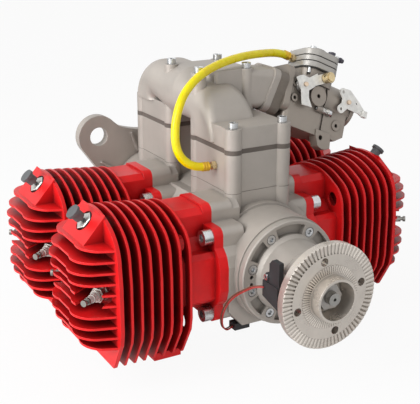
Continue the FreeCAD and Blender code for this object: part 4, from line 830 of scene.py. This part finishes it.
class ENGINE_OT_inner(bpy.types.Operator):
    """Pieces inside the engine"""

    bl_idname = "engine.inner"
    bl_label = "Inner pieces"

    def execute(self, context):
        """Dress the inner pieces."""
        dress(plated_steel("bearing_steel", 0.15), "bearing_outer_rings", "bearing_rollers",
              "bearing_inner_rings", *["pin_and_rings_" + name for name in CYLINDERS])
        dress(moulded("seal_rubber", 0.6), "shaft_seal")
        dress(turned_alloy("piston_alloy", TINTS["piston_alloy"], 0.35),
              *["piston_" + name for name in CYLINDERS])
        dress(moulded("reed_cage"), "reed_valves")
        return {"FINISHED"}


class ENGINE_OT_hose(bpy.types.Operator):
    """Yellow impulse hose"""

    bl_idname = "engine.hose"
    bl_label = "Impulse hose"

    def execute(self, context):
        """Lay the hose along its route."""
        points = metres(HOSE_ROUTE).tolist()
        diameter = sizes().hose_diameter
        hose = tube_along("impulse_hose_tube", points, diameter,
                          clear_hose("clear_hose", colours().hose))
        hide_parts("impulse_hose")
        amber = plated_steel("amber_brass", 0.3, metallic=0.5)
        ferrules = [
            ferrule("hose_ferrule_low", points[0], points[1], diameter / 2, amber),
            ferrule("hose_ferrule_top", points[-1], points[-2], diameter / 2, amber),
        ]
        return {"FINISHED"}


class ENGINE_OT_sensor(bpy.types.Operator):
    """Speed sensor and its leads"""

    bl_idname = "engine.sensor"
    bl_label = "Speed sensor"

    def execute(self, context):
        """Dress the sensor."""
        dress(moulded("sensor_black", 0.6), "speed_sensor", "lead_connector")
        diameter = sizes().lead_diameter
        leads = (("sensor_lead_red", -LEAD_SPACING / 2), ("sensor_lead_brown", LEAD_SPACING / 2))
        for name, offset in leads:
            points = metres([(x, y + offset, z) for x, y, z in LEAD_ROUTE]).tolist()
            lead = tube_along(name, points, diameter, moulded(name, 0.45))
            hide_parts("sensor_leads")
        return {"FINISHED"}


class ENGINE_OT_stage(bpy.types.Operator):
    """Floor, lamps, world and camera"""

    bl_idname = "engine.stage"
    bl_label = "Stage"

    def execute(self, context):
        """Build the stage."""
        make_world()
        make_floor()
        for name, place, size, power in LAMPS:
            lamp(name, place, size, power)
        make_camera()
        context.scene.view_settings.view_transform = "Standard"
        return {"FINISHED"}


def make_world():
    """White surroundings for the camera and for reflections, softer light on the object."""
    world = bpy.data.worlds.new("studio")
    bpy.context.scene.world = world
    world.use_nodes = True
    tree = world.node_tree
    background = tree.nodes["Background"]
    rays = tree.nodes.new("ShaderNodeLightPath")
    seen = tree.nodes.new("ShaderNodeMath")
    through = tree.nodes.new("ShaderNodeMath")
    seen.operation = through.operation = "MAXIMUM"
    pick = tree.nodes.new("ShaderNodeMapRange")
    tree.links.new(rays.outputs["Is Camera Ray"], seen.inputs[0])
    tree.links.new(rays.outputs["Is Glossy Ray"], seen.inputs[1])
    tree.links.new(seen.outputs["Value"], through.inputs[0])
    tree.links.new(rays.outputs["Is Transmission Ray"], through.inputs[1])
    tree.links.new(through.outputs["Value"], pick.inputs["Value"])
    pick.inputs["To Min"].default_value = AMBIENT
    pick.inputs["To Max"].default_value = 1.0
    background.inputs["Color"].default_value = (1, 1, 1, 1)
    tree.links.new(pick.outputs["Result"], background.inputs["Strength"])


def make_floor():
    """Large pale floor below the engine."""
    low = CAD_BOUNDS[0][2] - FLOOR_DROP
    mesh = bpy.data.meshes.new("floor")
    signs = ((-1, -1), (1, -1), (1, 1), (-1, 1))
    corners = [(x * FLOOR_HALF, y * FLOOR_HALF, low) for x, y in signs]
    mesh.from_pydata(corners, [], [(0, 1, 2, 3)])
    floor = bpy.data.objects.new("floor", mesh)
    bpy.context.scene.collection.objects.link(floor)
    material = bpy.data.materials.new("floor_white")
    material.use_nodes = True
    tree = material.node_tree
    shader = tree.nodes["Principled BSDF"]
    shader.inputs["Base Color"].default_value = (0.9, 0.9, 0.9, 1)
    shader.inputs["Roughness"].default_value = 0.9
    shader.inputs["Specular IOR Level"].default_value = 0.1
    glow = tree.nodes.new("ShaderNodeEmission")
    mix = tree.nodes.new("ShaderNodeMixShader")
    rays = tree.nodes.new("ShaderNodeLightPath")
    share = tree.nodes.new("ShaderNodeMapRange")
    share.inputs["To Max"].default_value = FLOOR_GLOW
    tree.links.new(rays.outputs["Is Camera Ray"], share.inputs["Value"])
    tree.links.new(share.outputs["Result"], mix.inputs["Fac"])
    tree.links.new(shader.outputs["BSDF"], mix.inputs[1])
    tree.links.new(glow.outputs["Emission"], mix.inputs[2])
    tree.links.new(mix.outputs["Shader"], tree.nodes["Material Output"].inputs["Surface"])
    mesh.materials.append(material)


def lamp(name, place, size, power):
    """Soft square lamp that points at the engine."""
    data = bpy.data.lights.new(name, "AREA")
    data.shape = "SQUARE"
    data.size = size
    data.energy = power
    holder = bpy.data.objects.new(name, data)
    bpy.context.scene.collection.objects.link(holder)
    holder.location = place
    holder.rotation_euler = (CAMERA_TARGET - Vector(place)).to_track_quat("-Z", "Y").to_euler()


def make_camera():
    """Camera at the photograph's place and angle."""
    data = bpy.data.cameras.new("camera")
    data.sensor_width = SENSOR_MM
    data.lens = FOCAL_PIXELS * SENSOR_MM / PHOTO_WIDTH
    data.clip_start, data.clip_end = CAMERA_CLIP
    holder = bpy.data.objects.new("camera", data)
    bpy.context.scene.collection.objects.link(holder)
    holder.location = CAMERA_PLACE
    holder.rotation_euler = (CAMERA_TARGET - CAMERA_PLACE).to_track_quat("-Z", "Y").to_euler()
    bpy.context.scene.camera = holder


OPERATORS = (
    ENGINE_OT_castings, ENGINE_OT_hub, ENGINE_OT_cylinders, ENGINE_OT_plugs, ENGINE_OT_fasteners,
    ENGINE_OT_carburettor, ENGINE_OT_inner, ENGINE_OT_hose, ENGINE_OT_sensor, ENGINE_OT_stage,
)


class ENGINE_PT_panel(bpy.types.Panel):
    """List of the engine's operators"""

    bl_idname = "ENGINE_PT_panel"
    bl_label = "Flat Aircraft Engine"
    bl_space_type = "VIEW_3D"
    bl_region_type = "UI"
    bl_category = "Engine"

    def draw(self, context):
        """Draw one button for each operator."""
        for operator in OPERATORS:
            self.layout.operator(operator.bl_idname)


CLASSES = (EngineColours, EngineSizes) + OPERATORS + (ENGINE_PT_panel,)


def register():
    """Register the classes and settings."""
    for item in CLASSES:
        bpy.utils.register_class(item)
    bpy.types.Scene.engine_colours = bpy.props.PointerProperty(type=EngineColours)
    bpy.types.Scene.engine_sizes = bpy.props.PointerProperty(type=EngineSizes)


def unregister():
    """Remove the settings and classes."""
    del bpy.types.Scene.engine_sizes
    del bpy.types.Scene.engine_colours
    for item in reversed(CLASSES):
        bpy.utils.unregister_class(item)


def main():
    """Dress the engine and build the stage."""
    register()
    bpy.ops.engine.castings()
    bpy.ops.engine.hub()
    bpy.ops.engine.cylinders()
    bpy.ops.engine.plugs()
    bpy.ops.engine.fasteners()
    bpy.ops.engine.carburettor()
    bpy.ops.engine.inner()
    bpy.ops.engine.hose()
    bpy.ops.engine.sensor()
    bpy.ops.engine.stage()


if __name__ == "__main__":
    main()
